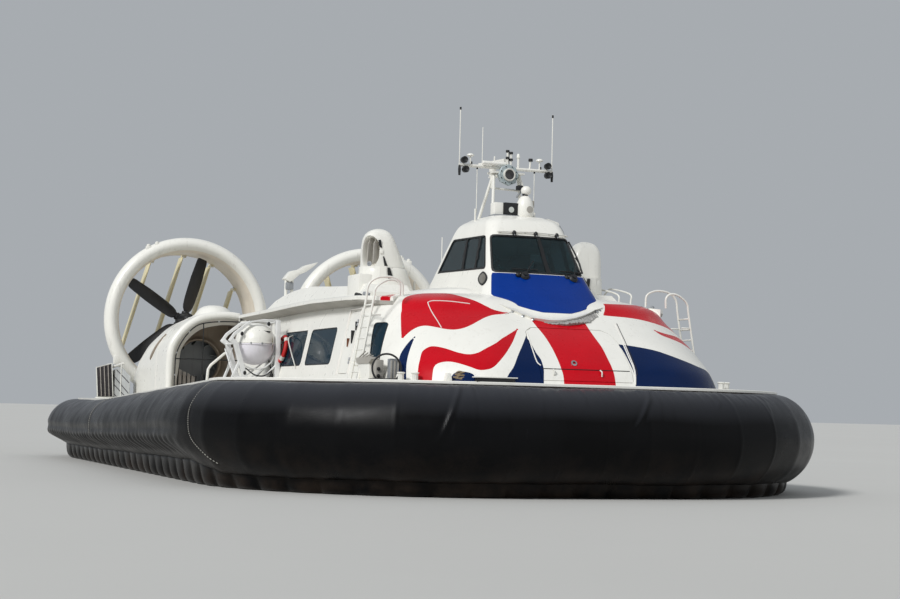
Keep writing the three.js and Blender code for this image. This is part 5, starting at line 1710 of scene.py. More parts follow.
def add_intake_frame(housing):
    """Dark frame of the intake screen, with its bolts."""
    arch = [(-4.215, 1.5), (-4.215, 1.83), (-4.21, 2.3), (-4.18, 2.62), (-4.01, 2.97), (-3.76, 3.24),
            (-3.5, 3.34), (-3.1, 3.385), (-2.70, 3.39)]
    arch = cubic([(x, z, 0) for x, z in arch], steps=5)
    housing.put(tube([(p.x, 3.165, p.y) for p in arch], 0.015, 8), DARK)
    for x0, z0, x1, z1 in ((-3.56, 1.5, -3.56, 3.32), (-4.21, 2.48, -2.70, 2.48), (-2.70, 1.5, -2.70, 3.39)):
        housing.put(bar((x0, 3.165, z0), (x1, 3.165, z1), 0.014, 8), DARK)
    for x, z in ((-4.21, 2.1), (-3.9, 3.11), (-3.2, 3.38), (-4.19, 2.62)):
        housing.put(lathe([(0, 0), (0.022, 0), (0.022, 0.02), (0, 0.022)], (x, 3.15, z), (0, -1, 0), 10),
                    ALLOY)


def add_intake_slats(housing):
    """Slats and a bent pipe behind the frame."""
    for k in range(5):
        x = -4.06 + 0.105 * k
        housing.put(prism([(x, 1.5), (x + 0.078, 1.5), (x + 0.078, 2.28 - 0.05 * k), (x, 2.31 - 0.05 * k)],
                          3.9, 3.94, "y", 0.01), SLAT)
    housing.put(box((-4.1, 3.94, 1.5), (-3.5, 3.96, 2.1), 0.01), DARK)
    housing.put(tube([(-3.58, 2.6, 1.5), (-3.58, 2.6, 1.97), (-3.56, 2.6, 2.24), (-3.50, 2.6, 2.34),
                      (-3.18, 2.6, 2.62), (-3.0, 2.6, 2.66)], 0.032, 12), PIPE)


def build_fan_housing(side, mirror):
    housing = Piece(f"fan_housing_shell_{side}", mirror=mirror, replaces=[f"fan_housing_{side}"], crease=40)
    housing.put(*housing_skin())
    for add in (add_dome, add_flank_slot, add_intake_frame, add_intake_slats):
        add(housing)
    housing.done()


LIP_GREY = finish("intake_lip", linear(196, 192, 184), 0.5, dark=0.85, patch=2, grime=GRIME, streak=0.4)
SLAT = finish("intake_slats", linear(176, 168, 160), 0.6, dark=0.7, patch=6, grime=linear(84, 72, 62),
              streak=0.5)
on_both(build_fan_housing)


# Thrusters
def carve(part, *tools):
    """A part less the tools."""
    things = []
    for verts, faces in (part,) + tools:
        mesh = bpy.data.meshes.new("carve")
        mesh.from_pydata([tuple(v) for v in verts], [], faces)
        turn_outward(mesh)
        things.append(new_object("carve", mesh))
    for tool in things[1:]:
        step = things[0].modifiers.new("cut", "BOOLEAN")
        step.operation, step.object, step.solver = "DIFFERENCE", tool, "EXACT"
    graph = bpy.context.evaluated_depsgraph_get()
    bm = bmesh.new()
    bm.from_object(things[0], graph)
    result = from_bmesh(bm)
    for thing in things:
        mesh = thing.data
        bpy.data.objects.remove(thing)
        bpy.data.meshes.remove(mesh)
    return result


THRUSTER = Vector((-2.17, -5.28, 4.15))
PORT_SWIVEL, STARBOARD_SWIVEL = -50, 32
# Rows: height, outboard reach, inboard reach, half width.
HORN = np.array([
    (0.0, 0.36, 0.49, 0.29), (0.15, 0.358, 0.43, 0.285), (0.33, 0.355, 0.35, 0.28), (0.45, 0.345, 0.30, 0.27),
    (0.56, 0.325, 0.25, 0.25), (0.64, 0.285, 0.20, 0.215), (0.70, 0.225, 0.14, 0.165),
    (0.735, 0.15, 0.07, 0.10), (0.75, 0.09, 0.02, 0.04)])


def horn_body():
    """Outside of the horn, a squarish form that rounds off at its top."""
    rings = []
    for z in list(np.linspace(0, 0.56, 9)) + list(np.linspace(0.6, 0.75, 9)):
        out, back, half = (float(np.interp(z, HORN[:, 0], HORN[:, k])) for k in (1, 2, 3))
        middle, reach = (out - back) / 2, (out + back) / 2
        rings.append([Vector((-(middle + reach * bend(math.cos(a), 0.62)), half * bend(math.sin(a), 0.62), z))
                      for a in turns(40)])
    return loft(rings)


def horn_mouth(turn):
    """Hollow of the horn's outlet, turned to face its way."""
    verts, faces = loft([[Vector((x, 0.205 * grow * bend(math.cos(a), 0.75),
                                  0.285 + 0.33 * grow * bend(math.sin(a), 0.8)))
                          for a in turns(32)]
                         for x, grow in ((-0.60, 1.05), (-0.34, 1.0), (-0.28, 0.9), (-0.12, 0.86),
                                         (0.0, 0.72))])
    return [turn @ v for v in verts], faces


def build_thruster(side, mirror):
    """Swivelling horn with its outlet, vanes and, to starboard, dark plates painted as the shade of two
    slits, and its step box.
    """
    turn = Matrix.Rotation(math.radians(PORT_SWIVEL if mirror else STARBOARD_SWIVEL), 4, "Z")
    horn = carve(horn_body(), horn_mouth(turn))
    thruster = Piece(f"thruster_horn_{side}", body=f"thruster_{side}", mirror=mirror,
                     replaces=[f"thruster_{side}"], crease=50)
    seat = Matrix.Translation(THRUSTER)

    def look(centre):
        local = turn.inverted() @ centre
        deep = abs(local.y) < 0.2 and -0.06 < local.z < 0.62 and -0.31 < local.x < 0.01
        # Faces deep in the outlet take the mouth colour, partly painted shade.
        return MOUTH if deep and math.hypot(local.y / 0.2, (local.z - 0.285) / 0.33) < 1.02 else WHITE

    thruster.put(horn, look, seat)
    for y in (-0.07, 0.07):
        thruster.put(prism([(-0.30, 0.06), (-0.08, 0.06), (-0.08, 0.57), (-0.20, 0.56), (-0.28, 0.45)],
                           y - 0.005, y + 0.005, "y", 0.002), LIP_GREY, seat @ turn)
    if not mirror:
        # Dark plates on the starboard face: painted shade of two slits.
        thruster.put(prism([(-0.10, 0.38), (-0.055, 0.36), (-0.085, 0.52), (-0.13, 0.51)], -0.292, -0.255,
                           "y", 0.004), DARK,
                     seat)
        thruster.put(prism([(0.0, 0.02), (0.06, 0.02), (-0.015, 0.20), (-0.035, 0.20)], -0.302, -0.268, "y",
                           0.003), DARK,
                     seat)
        thruster.put(box((-0.10, -0.30, 0.25), (-0.03, -0.25, 0.335), 0.015), WHITE, seat)
    thruster.put(lathe([(0.0, 0.0), (0.045, 0.0), (0.05, 0.012), (0.022, 0.016), (0.02, 0.004), (0.0, 0.004)],
                       (-0.27, -0.2, 0.05), (-0.7, -0.7, 0), 20), GREY, seat)
    thruster.done()


def build_thruster_collar(side, mirror):
    """Fixed fairing on the roof under the horn."""
    base = Piece(f"thruster_collar_{side}", mirror=mirror)
    skirts = []
    for z, out, back, half in ((3.45, 0.40, 0.78, 0.50), (3.62, 0.39, 0.70, 0.46), (3.80, 0.38, 0.63, 0.42),
                               (3.96, 0.375, 0.57, 0.40), (4.10, 0.37, 0.52, 0.39),
                               (4.138, 0.35, 0.49, 0.37)):
        middle, reach = (out - back) / 2, (out + back) / 2
        skirts.append([Vector((THRUSTER.x - middle + reach * bend(math.cos(a), 0.75),
                               THRUSTER.y + half * bend(math.sin(a), 0.75), z)) for a in turns(40)])
    base.put(loft(skirts), WHITE)
    if not mirror:
        base.put(box((-2.69, -5.6, 3.42), (-2.3, -4.9, 4.0), 0.03), WHITE)
    # Dark plate on the collar under the horn: painted shade of the lower slit running down.
    base.put(prism([(-2.13, 3.92), (-2.03, 3.92), (-2.10, 4.13), (-2.15, 4.13)], -5.70, -5.62, "y", 0.003),
             DARK)
    base.done()


# Pinkish grey inside the outlet: partly painted shade of the recess, with streaks of dirt.
MOUTH = finish("thruster_mouth", linear(226, 216, 208), 0.5, dark=0.82, patch=3, grime=linear(132, 116, 104),
               streak=0.5)
on_both(build_thruster, build_thruster_collar)


# Liferafts and deck fittings
def ellipse_ring(centre, ra, rb, u, v, count=48):
    centre, u, v = Vector(centre), Vector(u), Vector(v)
    return [centre + ra * math.cos(a) * u + rb * math.sin(a) * v for a in turns(count)]


def build_liferaft_pod(side, mirror):
    """Canister of two halves, with its seam, clips and straps."""
    pod = Piece(f"liferaft_canister_{side}", mirror=mirror, replaces=[f"liferaft_pod_{side}"], crease=50)
    centre = Vector((-3.68, -1.9, 2.71))
    pod.put(ball(centre, (0.40, 0.52, 0.435), 22, 40, 0.9), lambda c: WHITE if c.z > centre.z else RAFT_LOW)
    for z, grow, look in ((2.695, 0.012, RAFT_LOW), (2.725, 0.014, WHITE)):
        pod.put(tube(ellipse_ring((centre.x, centre.y, z), 0.40 + grow, 0.52 + grow, (1, 0, 0), AFT),
                     0.016, 8, True), look)
    pod.put(tube(ellipse_ring((centre.x, centre.y, 2.71), 0.413, 0.533, (1, 0, 0), AFT), 0.006, 6,
                 True), DARK)
    for x, k in ((-3.43, 0.79), (-3.93, 0.755)):
        pod.put(tube(ellipse_ring((x, centre.y, centre.z), 0.52 * k + 0.008, 0.43 * k + 0.008, AFT, UP),
                     0.013, 8, True), STRAP)
    for a in range(0, 360, 30):
        x, y = centre.x + 0.425 * math.cos(math.radians(a)), centre.y + 0.545 * math.sin(math.radians(a))
        pod.put(box((x - 0.012, y - 0.012, 2.685), (x + 0.012, y + 0.012, 2.735), 0.004), ALLOY)
    pod.put(prism([(-3.72, 2.95), (-3.48, 2.94), (-3.47, 2.97), (-3.73, 2.98)], -2.33, -2.27, "y", 0.004),
            DARK)
    pod.done()


def flat_bar(points, y, wide=0.06, deep=0.035):
    """Flat bar bent in the athwartship plane."""
    rings = []
    pts = [Vector((x, y, z)) for x, z in points]
    for i, p in enumerate(pts):
        t = (pts[min(i + 1, len(pts) - 1)] - pts[max(i - 1, 0)]).normalized()
        n = Vector((t.z, 0, -t.x)) * deep / 2
        w = Vector((0, wide / 2, 0))
        rings.append([p + n + w, p + n - w, p - n - w, p - n + w])
    return rounded(*loft(rings), 0.006, 1)


SADDLE = [(-4.16, 2.62), (-4.13, 2.42), (-4.02, 2.28), (-3.86, 2.20), (-3.70, 2.18), (-3.55, 2.22),
          (-3.42, 2.33), (-3.36, 2.48)]
# Each flat bar has its path, its width and its depth.
CRADLE_POSTS = [([(-3.94, 1.74), (-3.96, 2.0), (-4.18, 2.70), (-4.29, 2.78)], 0.09, 0.10),
                ([(-4.31, 2.74), (-4.20, 2.90), (-4.00, 3.06), (-3.88, 3.15)], 0.08, 0.06),
                (SADDLE, 0.07, 0.025), ([(-4.28, 1.76), (-4.24, 1.98), (-4.08, 2.36)], 0.06, 0.05)]


def build_liferaft_cradle(side, mirror):
    """Two frames of flat bar joined by round bars, braces and lashings."""
    cradle = Piece(f"liferaft_frame_{side}", slot="grey_paint", mirror=mirror,
                   replaces=[f"liferaft_cradle_{side}"])
    for y in (-1.57, -2.23):
        for path, wide, deep in CRADLE_POSTS:
            cradle.put(flat_bar(path, y, wide, deep), FRAME_GREY)
        cradle.put(box((-3.34, y - 0.07, 1.74), (-3.245, y + 0.07, 3.20), 0.01), FRAME_GREY)
        for path in ([(-3.62, 1.95), (-3.30, 2.30)], [(-3.95, 1.93), (-3.60, 2.18)]):
            cradle.put(flat_bar(path, y, 0.05, 0.03), FRAME_GREY)
        cradle.put(box((-4.34, y - 0.09, 1.72), (-3.86, y + 0.09, 1.77), 0.008), FRAME_GREY)
        cradle.put(box((-3.46, y - 0.10, 1.72), (-3.20, y + 0.10, 1.77), 0.008), FRAME_GREY)
        for x in (-4.27, -3.92):
            cradle.put(bar((x, y, 1.77), (x, y, 1.80), 0.018, 6), ALLOY)
    for y in (-2.23, -1.57):
        cradle.put(flat_bar([(-3.88, 3.15), (-3.60, 3.20), (-3.28, 3.20)], y, 0.05), FRAME_GREY)
    for x, z in ((-4.20, 2.70), (-3.30, 3.17), (-3.90, 3.14), (-3.96, 2.02), (-3.30, 1.95)):
        cradle.put(bar((x, -2.26, z), (x, -1.54, z), 0.022, 10), FRAME_GREY)
    for a, b in (((-3.31, -2.2, 1.86), (-3.31, -1.6, 2.44)), ((-3.31, -1.6, 1.86), (-3.31, -2.2, 2.44)),
                 ((-4.2, -2.2, 2.05), (-4.24, -1.6, 2.6)), ((-4.2, -1.6, 2.05), (-4.24, -2.2, 2.6))):
        cradle.put(bar(a, b, 0.013, 8), DARK if a[0] > -3.5 else FRAME_GREY)
    for x, y, z in ((-4.06, -2.27, 2.9), (-3.40, -2.27, 2.06), (-3.98, -2.27, 2.1), (-3.5, -2.27, 3.12)):
        cradle.put(ball((x, y, z), (0.035, 0.02, 0.045), 8, 12), DARK)
    cradle.put(tube([(-3.97, -2.28, 2.2), (-3.8, -2.4, 2.06), (-3.6, -2.4, 2.05), (-3.42, -2.3, 2.16)], 0.014,
                    8, smooth=4), DARK)
    cradle.done()


def build_lifebuoy(side, mirror):
    """Lifebuoy with its bands, hooks and line on the cabin wall."""
    buoy = Piece(f"lifebuoy_{side}", mirror=mirror, crease=60)
    middle = Vector((-3.192, -2.22, 2.61))
    lean = Vector((0.2166, 0, 1)).normalized()
    buoy.put(tube(ellipse_ring(middle, 0.26, 0.26, AFT, lean, 48), 0.045, 14, True), BUOY_RED)
    for k in range(4):
        a = math.radians(45 + 90 * k)
        outward = Vector((0, math.cos(a), 0)) + lean * math.sin(a)
        along = Vector((0, -math.sin(a), 0)) + lean * math.cos(a)
        at = middle + outward * 0.26
        across = outward.cross(along)
        band = [ring_points(at + along * d, 0.049, 14, outward, across) for d in (-0.05, 0.05)]
        buoy.put(loft(band), STRAP_WHITE)
    for z in (2.32, 2.90):
        buoy.put(box((-wall_x(z) - 0.07, -2.26, z - 0.02), (-wall_x(z) + 0.01, -2.18, z + 0.02), 0.006),
                 ALLOY)
    buoy.put(tube([(-wall_x(2.88) - 0.01, -2.66, 2.88), (-3.24, -2.85, 2.80), (-3.27, -3.18, 2.52),
                   (-3.26, -3.34, 2.34), (-wall_x(2.2) - 0.01, -3.42, 2.2)], 0.014, 8, smooth=5), STRAP_WHITE)
    buoy.done()


def build_stern_box(side, mirror):
    """Tapered locker with a slatted face and a panel of dark ribs."""
    grille = Piece(f"stern_locker_{side}", mirror=mirror, replaces=[f"stern_grille_{side}"])
    lean = [(-5.05, 1.55), (-4.62, 1.55), (-4.68, 2.44), (-5.10, 2.32)]
    grille.put(loft([[Vector((x + d * (0.05 if x > -4.9 else 0.3), y, z)) for x, z in lean]
                     for y, d in ((8.46, 0.0), (8.9, 0.44), (9.22, 0.76))]), WHITE)
    # Dark plate just behind the slats: painted shade of the space behind them.
    grille.put(prism([(-5.045, 1.57), (-4.63, 1.57), (-4.69, 2.42), (-5.09, 2.30)], 8.435, 8.47, "y", 0.006),
               SLOT)
    for k in range(5):
        x = -5.045 + 0.1 * k
        top = 2.31 + 0.028 * k
        grille.put(prism([(x, 1.57), (x + 0.022, 1.57), (x - 0.036, top), (x - 0.058, top)], 8.415, 8.45, "y",
                         0.004),
                   WHITE if k in (0, 4) else SLAT)
    grille.put(box((-5.06, 8.38, 1.50), (-4.56, 8.66, 1.55), 0.012), WHITE)
    grille.put(prism([(9.2, 1.52), (6.6, 1.52), (6.5, 2.08), (7.69, 2.34), (9.2, 2.22)], -4.60, -4.575, "x",
                     0.006), LOUVRE)
    for (ya, za), (yb, zb) in (((9.0, 2.2), (6.6, 1.66)), ((9.1, 2.0), (6.9, 1.56)),
                               ((8.2, 2.26), (6.55, 1.92)), ((9.1, 1.75), (8.0, 1.55))):
        grille.put(bar((-4.60, ya, za), (-4.60, yb, zb), 0.013, 8), SLOT)
    grille.put(bar((-4.62, 8.9, 2.33), (-4.56, 7.5, 2.42), 0.035, 10), PIPE)
    grille.put(bar((-4.62, 7.5, 1.5), (-4.62, 7.5, 2.4), 0.014, 8), PIPE)
    grille.done()


def add_bollard_ends(kit):
    """Caps and foot rings of the bollards at the bow corners."""
    for s in (-1, 1):
        for x, y in ((3.15, -9.35), (2.95, -9.5)):
            kit.put(lathe([(0.0, 2.04), (0.06, 2.04), (0.072, 2.05), (0.072, 2.06), (0.05, 2.07),
                           (0.0, 2.072)],
                          (s * x, y, 0), UP, 24), WHITE)
            kit.put(lathe([(0.0, 1.915), (0.085, 1.915), (0.085, 1.93), (0.058, 1.935), (0.0, 1.936)],
                          (s * x, y, 0), UP, 24), WHITE)


def add_starboard_locker(kit):
    """Locker with its lid and straps, a hoop, small boxes and a dark base by the starboard rail."""
    kit.put(prism([(-8.42, 1.90), (-7.80, 1.90), (-7.80, 2.24), (-8.42, 2.24)], -3.40, -3.30, "x", 0.015),
            WHITE)
    kit.put(loft([[Vector((x, y, z)) for x, y in ((-3.42, -8.44 - g), (-3.28, -8.44 - g), (-3.28, -7.79 + h),
                                                   (-3.42, -7.79 + h))]
                  for g, h, z in ((0.0, 0.0, 2.225), (0.10, 0.04, 2.28), (0.18, 0.05, 2.30),
                                  (0.06, 0.03, 2.33))]),
            GUTTER_SHADE_AND_FITTING_GREY)
    for k in range(4):
        y = -7.86 - 0.14 * k
        kit.put(bar((-3.41, y, 2.32), (-3.36, y - 0.22, 2.44 - 0.03 * k), 0.012, 8), GUTTER_SHADE_AND_FITTING_GREY)
    hoop = ellipse_ring((-3.30, -9.04, 2.13), 0.245, 0.245, (0.94, -0.34, 0), UP, 40)
    kit.put(tube(hoop, 0.017, 10, True), DARK)
    kit.put(box((-3.40, -8.78, 1.91), (-3.26, -8.60, 2.28), 0.02), GUTTER_SHADE_AND_FITTING_GREY)
    kit.put(box((-3.22, -9.0, 1.91), (-3.06, -8.84, 2.30), 0.015), GREY)
    for x in (-3.20, -3.14, -3.08):
        kit.put(box((x - 0.014, -9.015, 1.95), (x + 0.014, -8.99, 2.27), 0.004), GUTTER_SHADE_AND_FITTING_GREY)
    for z in (2.0, 2.12):
        kit.put(lathe([(0.0, 0.0), (0.03, 0.0), (0.034, 0.012), (0.0, 0.02)], (-3.36, -8.79, z), (0, -1, 0),
                      14), DARK)
    kit.put(loft([[Vector((x, y, z)) for x, y in ((-3.56, -9.2), (-3.08, -9.32), (-3.06, -8.8),
                                                  (-3.54, -8.8))]
                  for z in (1.91, 1.955)]), DARK)


def add_mooring_gear(kit):
    """Coiled rope, posts, a bar and a tray at the starboard bow, and deck plates."""
    coil = []
    for k in range(110):
        a = 0.42 * k
        coil.append(Vector((-2.22 + (0.17 - 0.0007 * k) * math.cos(a),
                            -9.80 + (0.11 - 0.0005 * k) * math.sin(a),
                            1.97 + 0.0011 * k + 0.02 * math.sin(2.3 * a))))
    kit.put(tube(coil, 0.015, 6), ROPE)
    kit.put(prism([(-2.56, 1.93), (-2.44, 1.93), (-2.46, 2.06), (-2.53, 2.07)], -9.92, -9.80, "y", 0.012),
            WHITE)
    kit.put(prism([(-2.08, 1.92), (-1.92, 1.92), (-1.94, 2.06), (-2.06, 2.07)], -9.96, -9.84, "y", 0.012),
            WHITE)
    kit.put(bar((-2.32, -9.78, 2.05), (-1.98, -9.78, 2.05), 0.022, 10), ALLOY)
    kit.put(tube([(-2.28, -9.8, 1.96), (-2.2, -9.86, 2.06), (-2.08, -9.84, 2.05), (-2.02, -9.8, 1.97)], 0.014,
                 8, smooth=3),
            DARK)
    kit.put(box((-2.08, -10.12, 1.925), (-1.38, -10.02, 2.0), 0.008), DARK)
    kit.put(box((-2.12, -10.14, 2.0), (-1.34, -10.0, 2.02), 0.006), WHITE)
    for x in (-1.6, 1.4, 2.1):
        kit.put(lathe([(0.0, 1.92), (0.06, 1.92), (0.062, 1.935), (0.0, 1.94)],
                      (x, -10.02 + 0.05 * abs(x), 0), UP, 18), ALLOY)


def build_foredeck():
    kit = Piece("foredeck_fittings")
    add_bollard_ends(kit)
    add_starboard_locker(kit)
    add_mooring_gear(kit)
    kit.done()


def build_roof_rail():
    """Bent rail on the port roof, and horns on the roof edge of both sides."""
    rail = Piece("port_roof_rail", slot="bare_alloy")
    points = [(2.86, -4.77, 3.50), (2.88, -4.77, 3.79), (2.9, -4.99, 3.95), (2.9, -5.18, 3.98),
              (2.9, -5.97, 3.84), (2.88, -6.05, 3.68), (2.86, -6.07, 3.48)]
    rail.put(tube(points, 0.018, 10, smooth=4), PIPE)
    rail.put(tube([(2.62, y, z - 0.02) for _, y, z in points], 0.018, 10, smooth=4), PIPE)
    for s in (-1, 1):
        for y, reach, look in ((-6.40, 0.035, DARK), (-6.86, 0.03, GREY)):
            rail.put(lathe([(0.0, 0.0), (reach * 0.5, 0.0), (reach, 0.05), (reach * 1.5, 0.14),
                            (reach * 1.2, 0.15), (0.0, 0.13)], (s * 2.91, y - 0.05, 3.53), (s * 0.5, 1, 0),
                           16), look)
            rail.put(bar((s * 2.9, y, 3.44), (s * 2.91, y, 3.53), 0.018, 8), look)
            rail.put(box((-0.03 + s * 2.9, y - 0.05, 3.44), (0.03 + s * 2.9, y + 0.05, 3.48), 0.006), look)
    rail.done()


def build_roof_equipment():
    """Curved hoods on posts at the back of the roof."""
    roof = Piece("roof_equipment")
    for s in (-1, 1):
        hood = [(2.42, 4.27), (2.37, 4.34), (2.28, 4.45), (2.09, 4.49), (1.95, 4.59), (1.65, 4.68),
                (1.78, 4.55), (1.94, 4.44), (2.09, 4.37), (2.18, 4.28), (2.30, 4.20)]
        hood = [(s * x, z) for x, z in hood]
        roof.put(prism(hood if s < 0 else hood[::-1], 0.38, 0.66, "y", 0.02), WHITE)
        for x, z in ((2.36, 4.24), (2.22, 4.32)):
            roof.put(bar((s * x, 0.5, 3.6), (s * x, 0.5, z), 0.035, 10), WHITE)
        roof.put(box((s * 2.29 - 0.09, 0.42, 4.03), (s * 2.29 + 0.09, 0.60, 4.20), 0.03), GREY)
        roof.put(lathe([(0.0, 3.60), (0.16, 3.60), (0.16, 3.80), (0.12, 3.86), (0.0, 3.88)],
                       (s * 2.29, 0.5, 0), UP, 24), WHITE)
    roof.done()


def build_ladder(side, mirror):
    ladder = Piece(f"boarding_ladder_{side}", slot="bare_alloy", mirror=mirror, replaces=[f"ladder_{side}"],
                   crease=60)
    foot, top = Vector((-3.42, 0, 1.925)), Vector((-3.17, 0, 3.36))
    hooks = {-7.46: [(-3.125, 3.65), (-2.98, 3.78), (-2.80, 3.815), (-2.64, 3.80), (-2.49, 3.71),
                     (-2.47, 3.50)],
             -7.88: [(-3.135, 3.56), (-3.02, 3.67), (-2.89, 3.73), (-2.76, 3.725), (-2.68, 3.64),
                     (-2.68, 3.46)]}
    for y, hook in hooks.items():
        path = [(foot.x, y, foot.z), (foot.x * 0.5 + top.x * 0.5, y, (foot.z + top.z) / 2), (top.x, y, top.z)]
        ladder.put(tube(path + [(x, y, z) for x, z in hook], 0.021, 10, smooth=5), PIPE)
        ladder.put(box((foot.x - 0.05, y - 0.05, 1.915), (foot.x + 0.05, y + 0.05, 1.94), 0.006), PIPE)
    for k in range(7):
        z = 2.08 + 0.2 * k
        x = foot.x + (top.x - foot.x) * (z - foot.z) / (top.z - foot.z)
        ladder.put(bar((x, -7.46, z), (x, -7.88, z), 0.016, 10), PIPE)
    for z in (2.2, 3.1):
        x = foot.x + (top.x - foot.x) * (z - foot.z) / (top.z - foot.z)
        for y in (-7.46, -7.88):
            ladder.put(bar((x, y, z), (-wall_x(z) + 0.01, y, z), 0.014, 8), PIPE)
    ladder.done()


RAFT_LOW = finish("canister_low", linear(230, 226, 232), 0.45, dark=0.86, patch=3, grime=GRIME, streak=0.3)
STRAP = finish("canister_strap", linear(150, 142, 62), 0.75, dark=0.6, patch=14, bump=0.4)
STRAP_WHITE = finish("reflective_band", linear(214, 212, 204), 0.5, dark=0.8, patch=10)
FRAME_GREY = finish("frame_paint", linear(232, 232, 230), 0.45, dark=0.84, patch=5, grime=GRIME, streak=0.4)
LOUVRE = finish("stern_panel", linear(190, 192, 190), 0.55, dark=0.75, patch=6, grime=GRIME, streak=0.5)
SLOT = finish("louvre_dark", linear(58, 54, 56), 0.7, dark=0.6, patch=6)
ROPE = finish("mooring_rope", linear(150, 132, 104), 0.85, dark=0.6, patch=30, bump=0.6, depth=0.01)
on_both(build_liferaft_pod, build_liferaft_cradle, build_lifebuoy)
on_both(build_stern_box)
on_both(build_ladder)
build_foredeck()
build_roof_rail()
build_roof_equipment()


# Mast and lights
MAST_Y = -6.31


def add_yard_lamps(lights, y):
    """Lamps at the ends of the yard, and caps and aerials on it."""
    for x, z in ((-0.895, 6.215), (-0.865, 6.035), (0.855, 6.215), (0.86, 6.035)):
        lights.put(lathe([(0.0, 0.08), (0.04, 0.08), (0.06, 0.04), (0.066, -0.05), (0.062, -0.06),
                          (0.05, -0.05), (0.0, -0.03)], (x, y - 0.05, z), AFT, 24), DARK)
        lights.put(bar((x, y, 6.12), (x, y - 0.02, z), 0.016, 8), PIPE)
    for x in (-0.745, 0.705):
        lights.put(lathe([(0.0, 6.13), (0.014, 6.13), (0.014, 6.29), (0.06, 6.30), (0.072, 6.315),
                          (0.066, 6.335), (0.04, 6.352), (0.0, 6.356)], (x, y, 0), UP, 28), WHITE)
        lights.put(bar((x + 0.03, y, 6.13), (x + 0.03, y, 6.2), 0.014, 8), DARK)
    lights.put(tube([(0.36, y, 6.12), (0.47, y, 6.12), (0.50, y, 6.16), (0.51, y, 6.29)], 0.018, 10,
                    smooth=3), PIPE)
    lights.put(lathe([(0.0, 6.29), (0.04, 6.29), (0.045, 6.31), (0.04, 6.345), (0.0, 6.35)], (0.515, y, 0),
                     UP, 18),
               DARK)
    lights.put(lathe([(0.0, 6.1), (0.024, 6.1), (0.024, 6.33), (0.036, 6.34), (0.034, 6.38), (0.02, 6.42),
                      (0.0, 6.42)],
                     (0.255, y, 0), UP, 18), WHITE)


def add_mast_poles(lights, y):
    """Bar, poles with collars, and small posts of the mast head."""
    lights.put(bar((-0.52, y - 0.06, 6.19), (-0.03, y - 0.06, 6.19), 0.04, 16), WHITE)
    lights.put(bar((-0.26, y - 0.02, 6.1), (-0.26, y - 0.04, 6.33), 0.016, 8), PIPE)
    for x, top in ((0.01, 6.47), (0.085, 6.44)):
        lights.put(bar((x, y - 0.04, 6.1), (x, y - 0.04, top), 0.02, 12), PIPE)
        for z in (top - 0.02, top - 0.15):
            lights.put(lathe([(0.0, -0.025), (0.034, -0.025), (0.038, 0.0), (0.034, 0.02), (0.0, 0.025)],
                             (x, y - 0.04, z), UP, 16), DARK)
    for x in (-0.97, 0.97):
        lights.put(bar((x, y, 7.18), (x, y, 7.235), 0.018, 10), DARK)
        lights.put(lathe([(0.0, -0.12), (0.022, -0.12), (0.028, 0.0), (0.02, 0.08), (0.0, 0.08)],
                         (x, y - 0.01, 6.04), UP, 14), DARK)
    for x in (-0.6, 0.6):
        lights.put(bar((x, y, 6.06), (x, y, 6.12), 0.016, 10), DARK)


def add_floodlight(lights, y):
    """Large eight-sided lamp with a ring of bolts, and the bars under it."""
    lamp = Vector((-0.02, y - 0.16, 5.97))
    lights.put(lathe([(0.0, 0.20), (0.10, 0.20), (0.17, 0.14), (0.205, 0.02), (0.21, -0.02), (0.195, -0.035),
                      (0.14, -0.03), (0.13, -0.045), (0.0, -0.045)], lamp, AFT, 8), LAMP_BODY)
    lights.put(lathe([(0.095, -0.04), (0.125, -0.04), (0.125, -0.075), (0.11, -0.085), (0.095, -0.08)], lamp,
                     AFT, 36, True), STRAP_WHITE)
    lights.put(lathe([(0.0, -0.045), (0.1, -0.045), (0.1, -0.07), (0.05, -0.056), (0.0, -0.054)], lamp, AFT,
                     36),
               LAMP_LENS)
    for a in range(22, 360, 45):
        x, z = lamp.x + 0.17 * math.cos(math.radians(a)), lamp.z + 0.17 * math.sin(math.radians(a))
        lights.put(bar((x, lamp.y - 0.045, z), (x, lamp.y - 0.02, z), 0.012, 8), DARK)
    lights.put(bar((-0.30, y, 5.72), (0.33, y, 5.70), 0.02, 8), PIPE)
    lights.put(box((0.19, y - 0.18, 5.70), (0.30, y - 0.04, 5.79), 0.02), DARK)
    lights.put(bar((0.30, y - 0.1, 5.70), (0.19, y - 0.1, 5.56), 0.02, 8), GREY)
    lights.put(bar((-0.25, y, 6.03), (-0.30, y, 5.72), 0.018, 8), PIPE)


def add_roof_lamps(lights):
    """Boxes and a lamp on the cab roof, and poles on both roofs."""
    lights.put(box((-0.50, -6.98, 5.13), (-0.32, -6.76, 5.37), 0.02), WHITE)
    lights.put(box((-0.315, -7.0, 5.15), (-0.02, -6.76, 5.375), 0.02), DARK)
    lights.put(lathe([(0.0, 0.0), (0.05, 0.0), (0.055, -0.01), (0.0, -0.014)], (-0.17, -7.0, 5.24), AFT, 20),
               LENS)
    lights.put(box((-0.52, -7.02, 5.10), (0.02, -6.72, 5.14), 0.008), GREY)
    for x in (-0.62, 0.62):
        lights.put(bar((x, MAST_Y, 4.95), (x, MAST_Y, 5.3), 0.02, 8), PIPE)
    lights.put(bar((0.60, -1.45, 3.6), (0.60, -1.45, 5.22), 0.012, 8), PIPE)
    lights.put(bar((-1.30, -4.9, 3.58), (-1.30, -4.9, 3.95), 0.022, 8), PIPE)


def build_mast_lights():
    lights = Piece("mast_lights")
    for add in (add_yard_lamps, add_mast_poles, add_floodlight):
        add(lights, MAST_Y)
    add_roof_lamps(lights)
    lights.done()


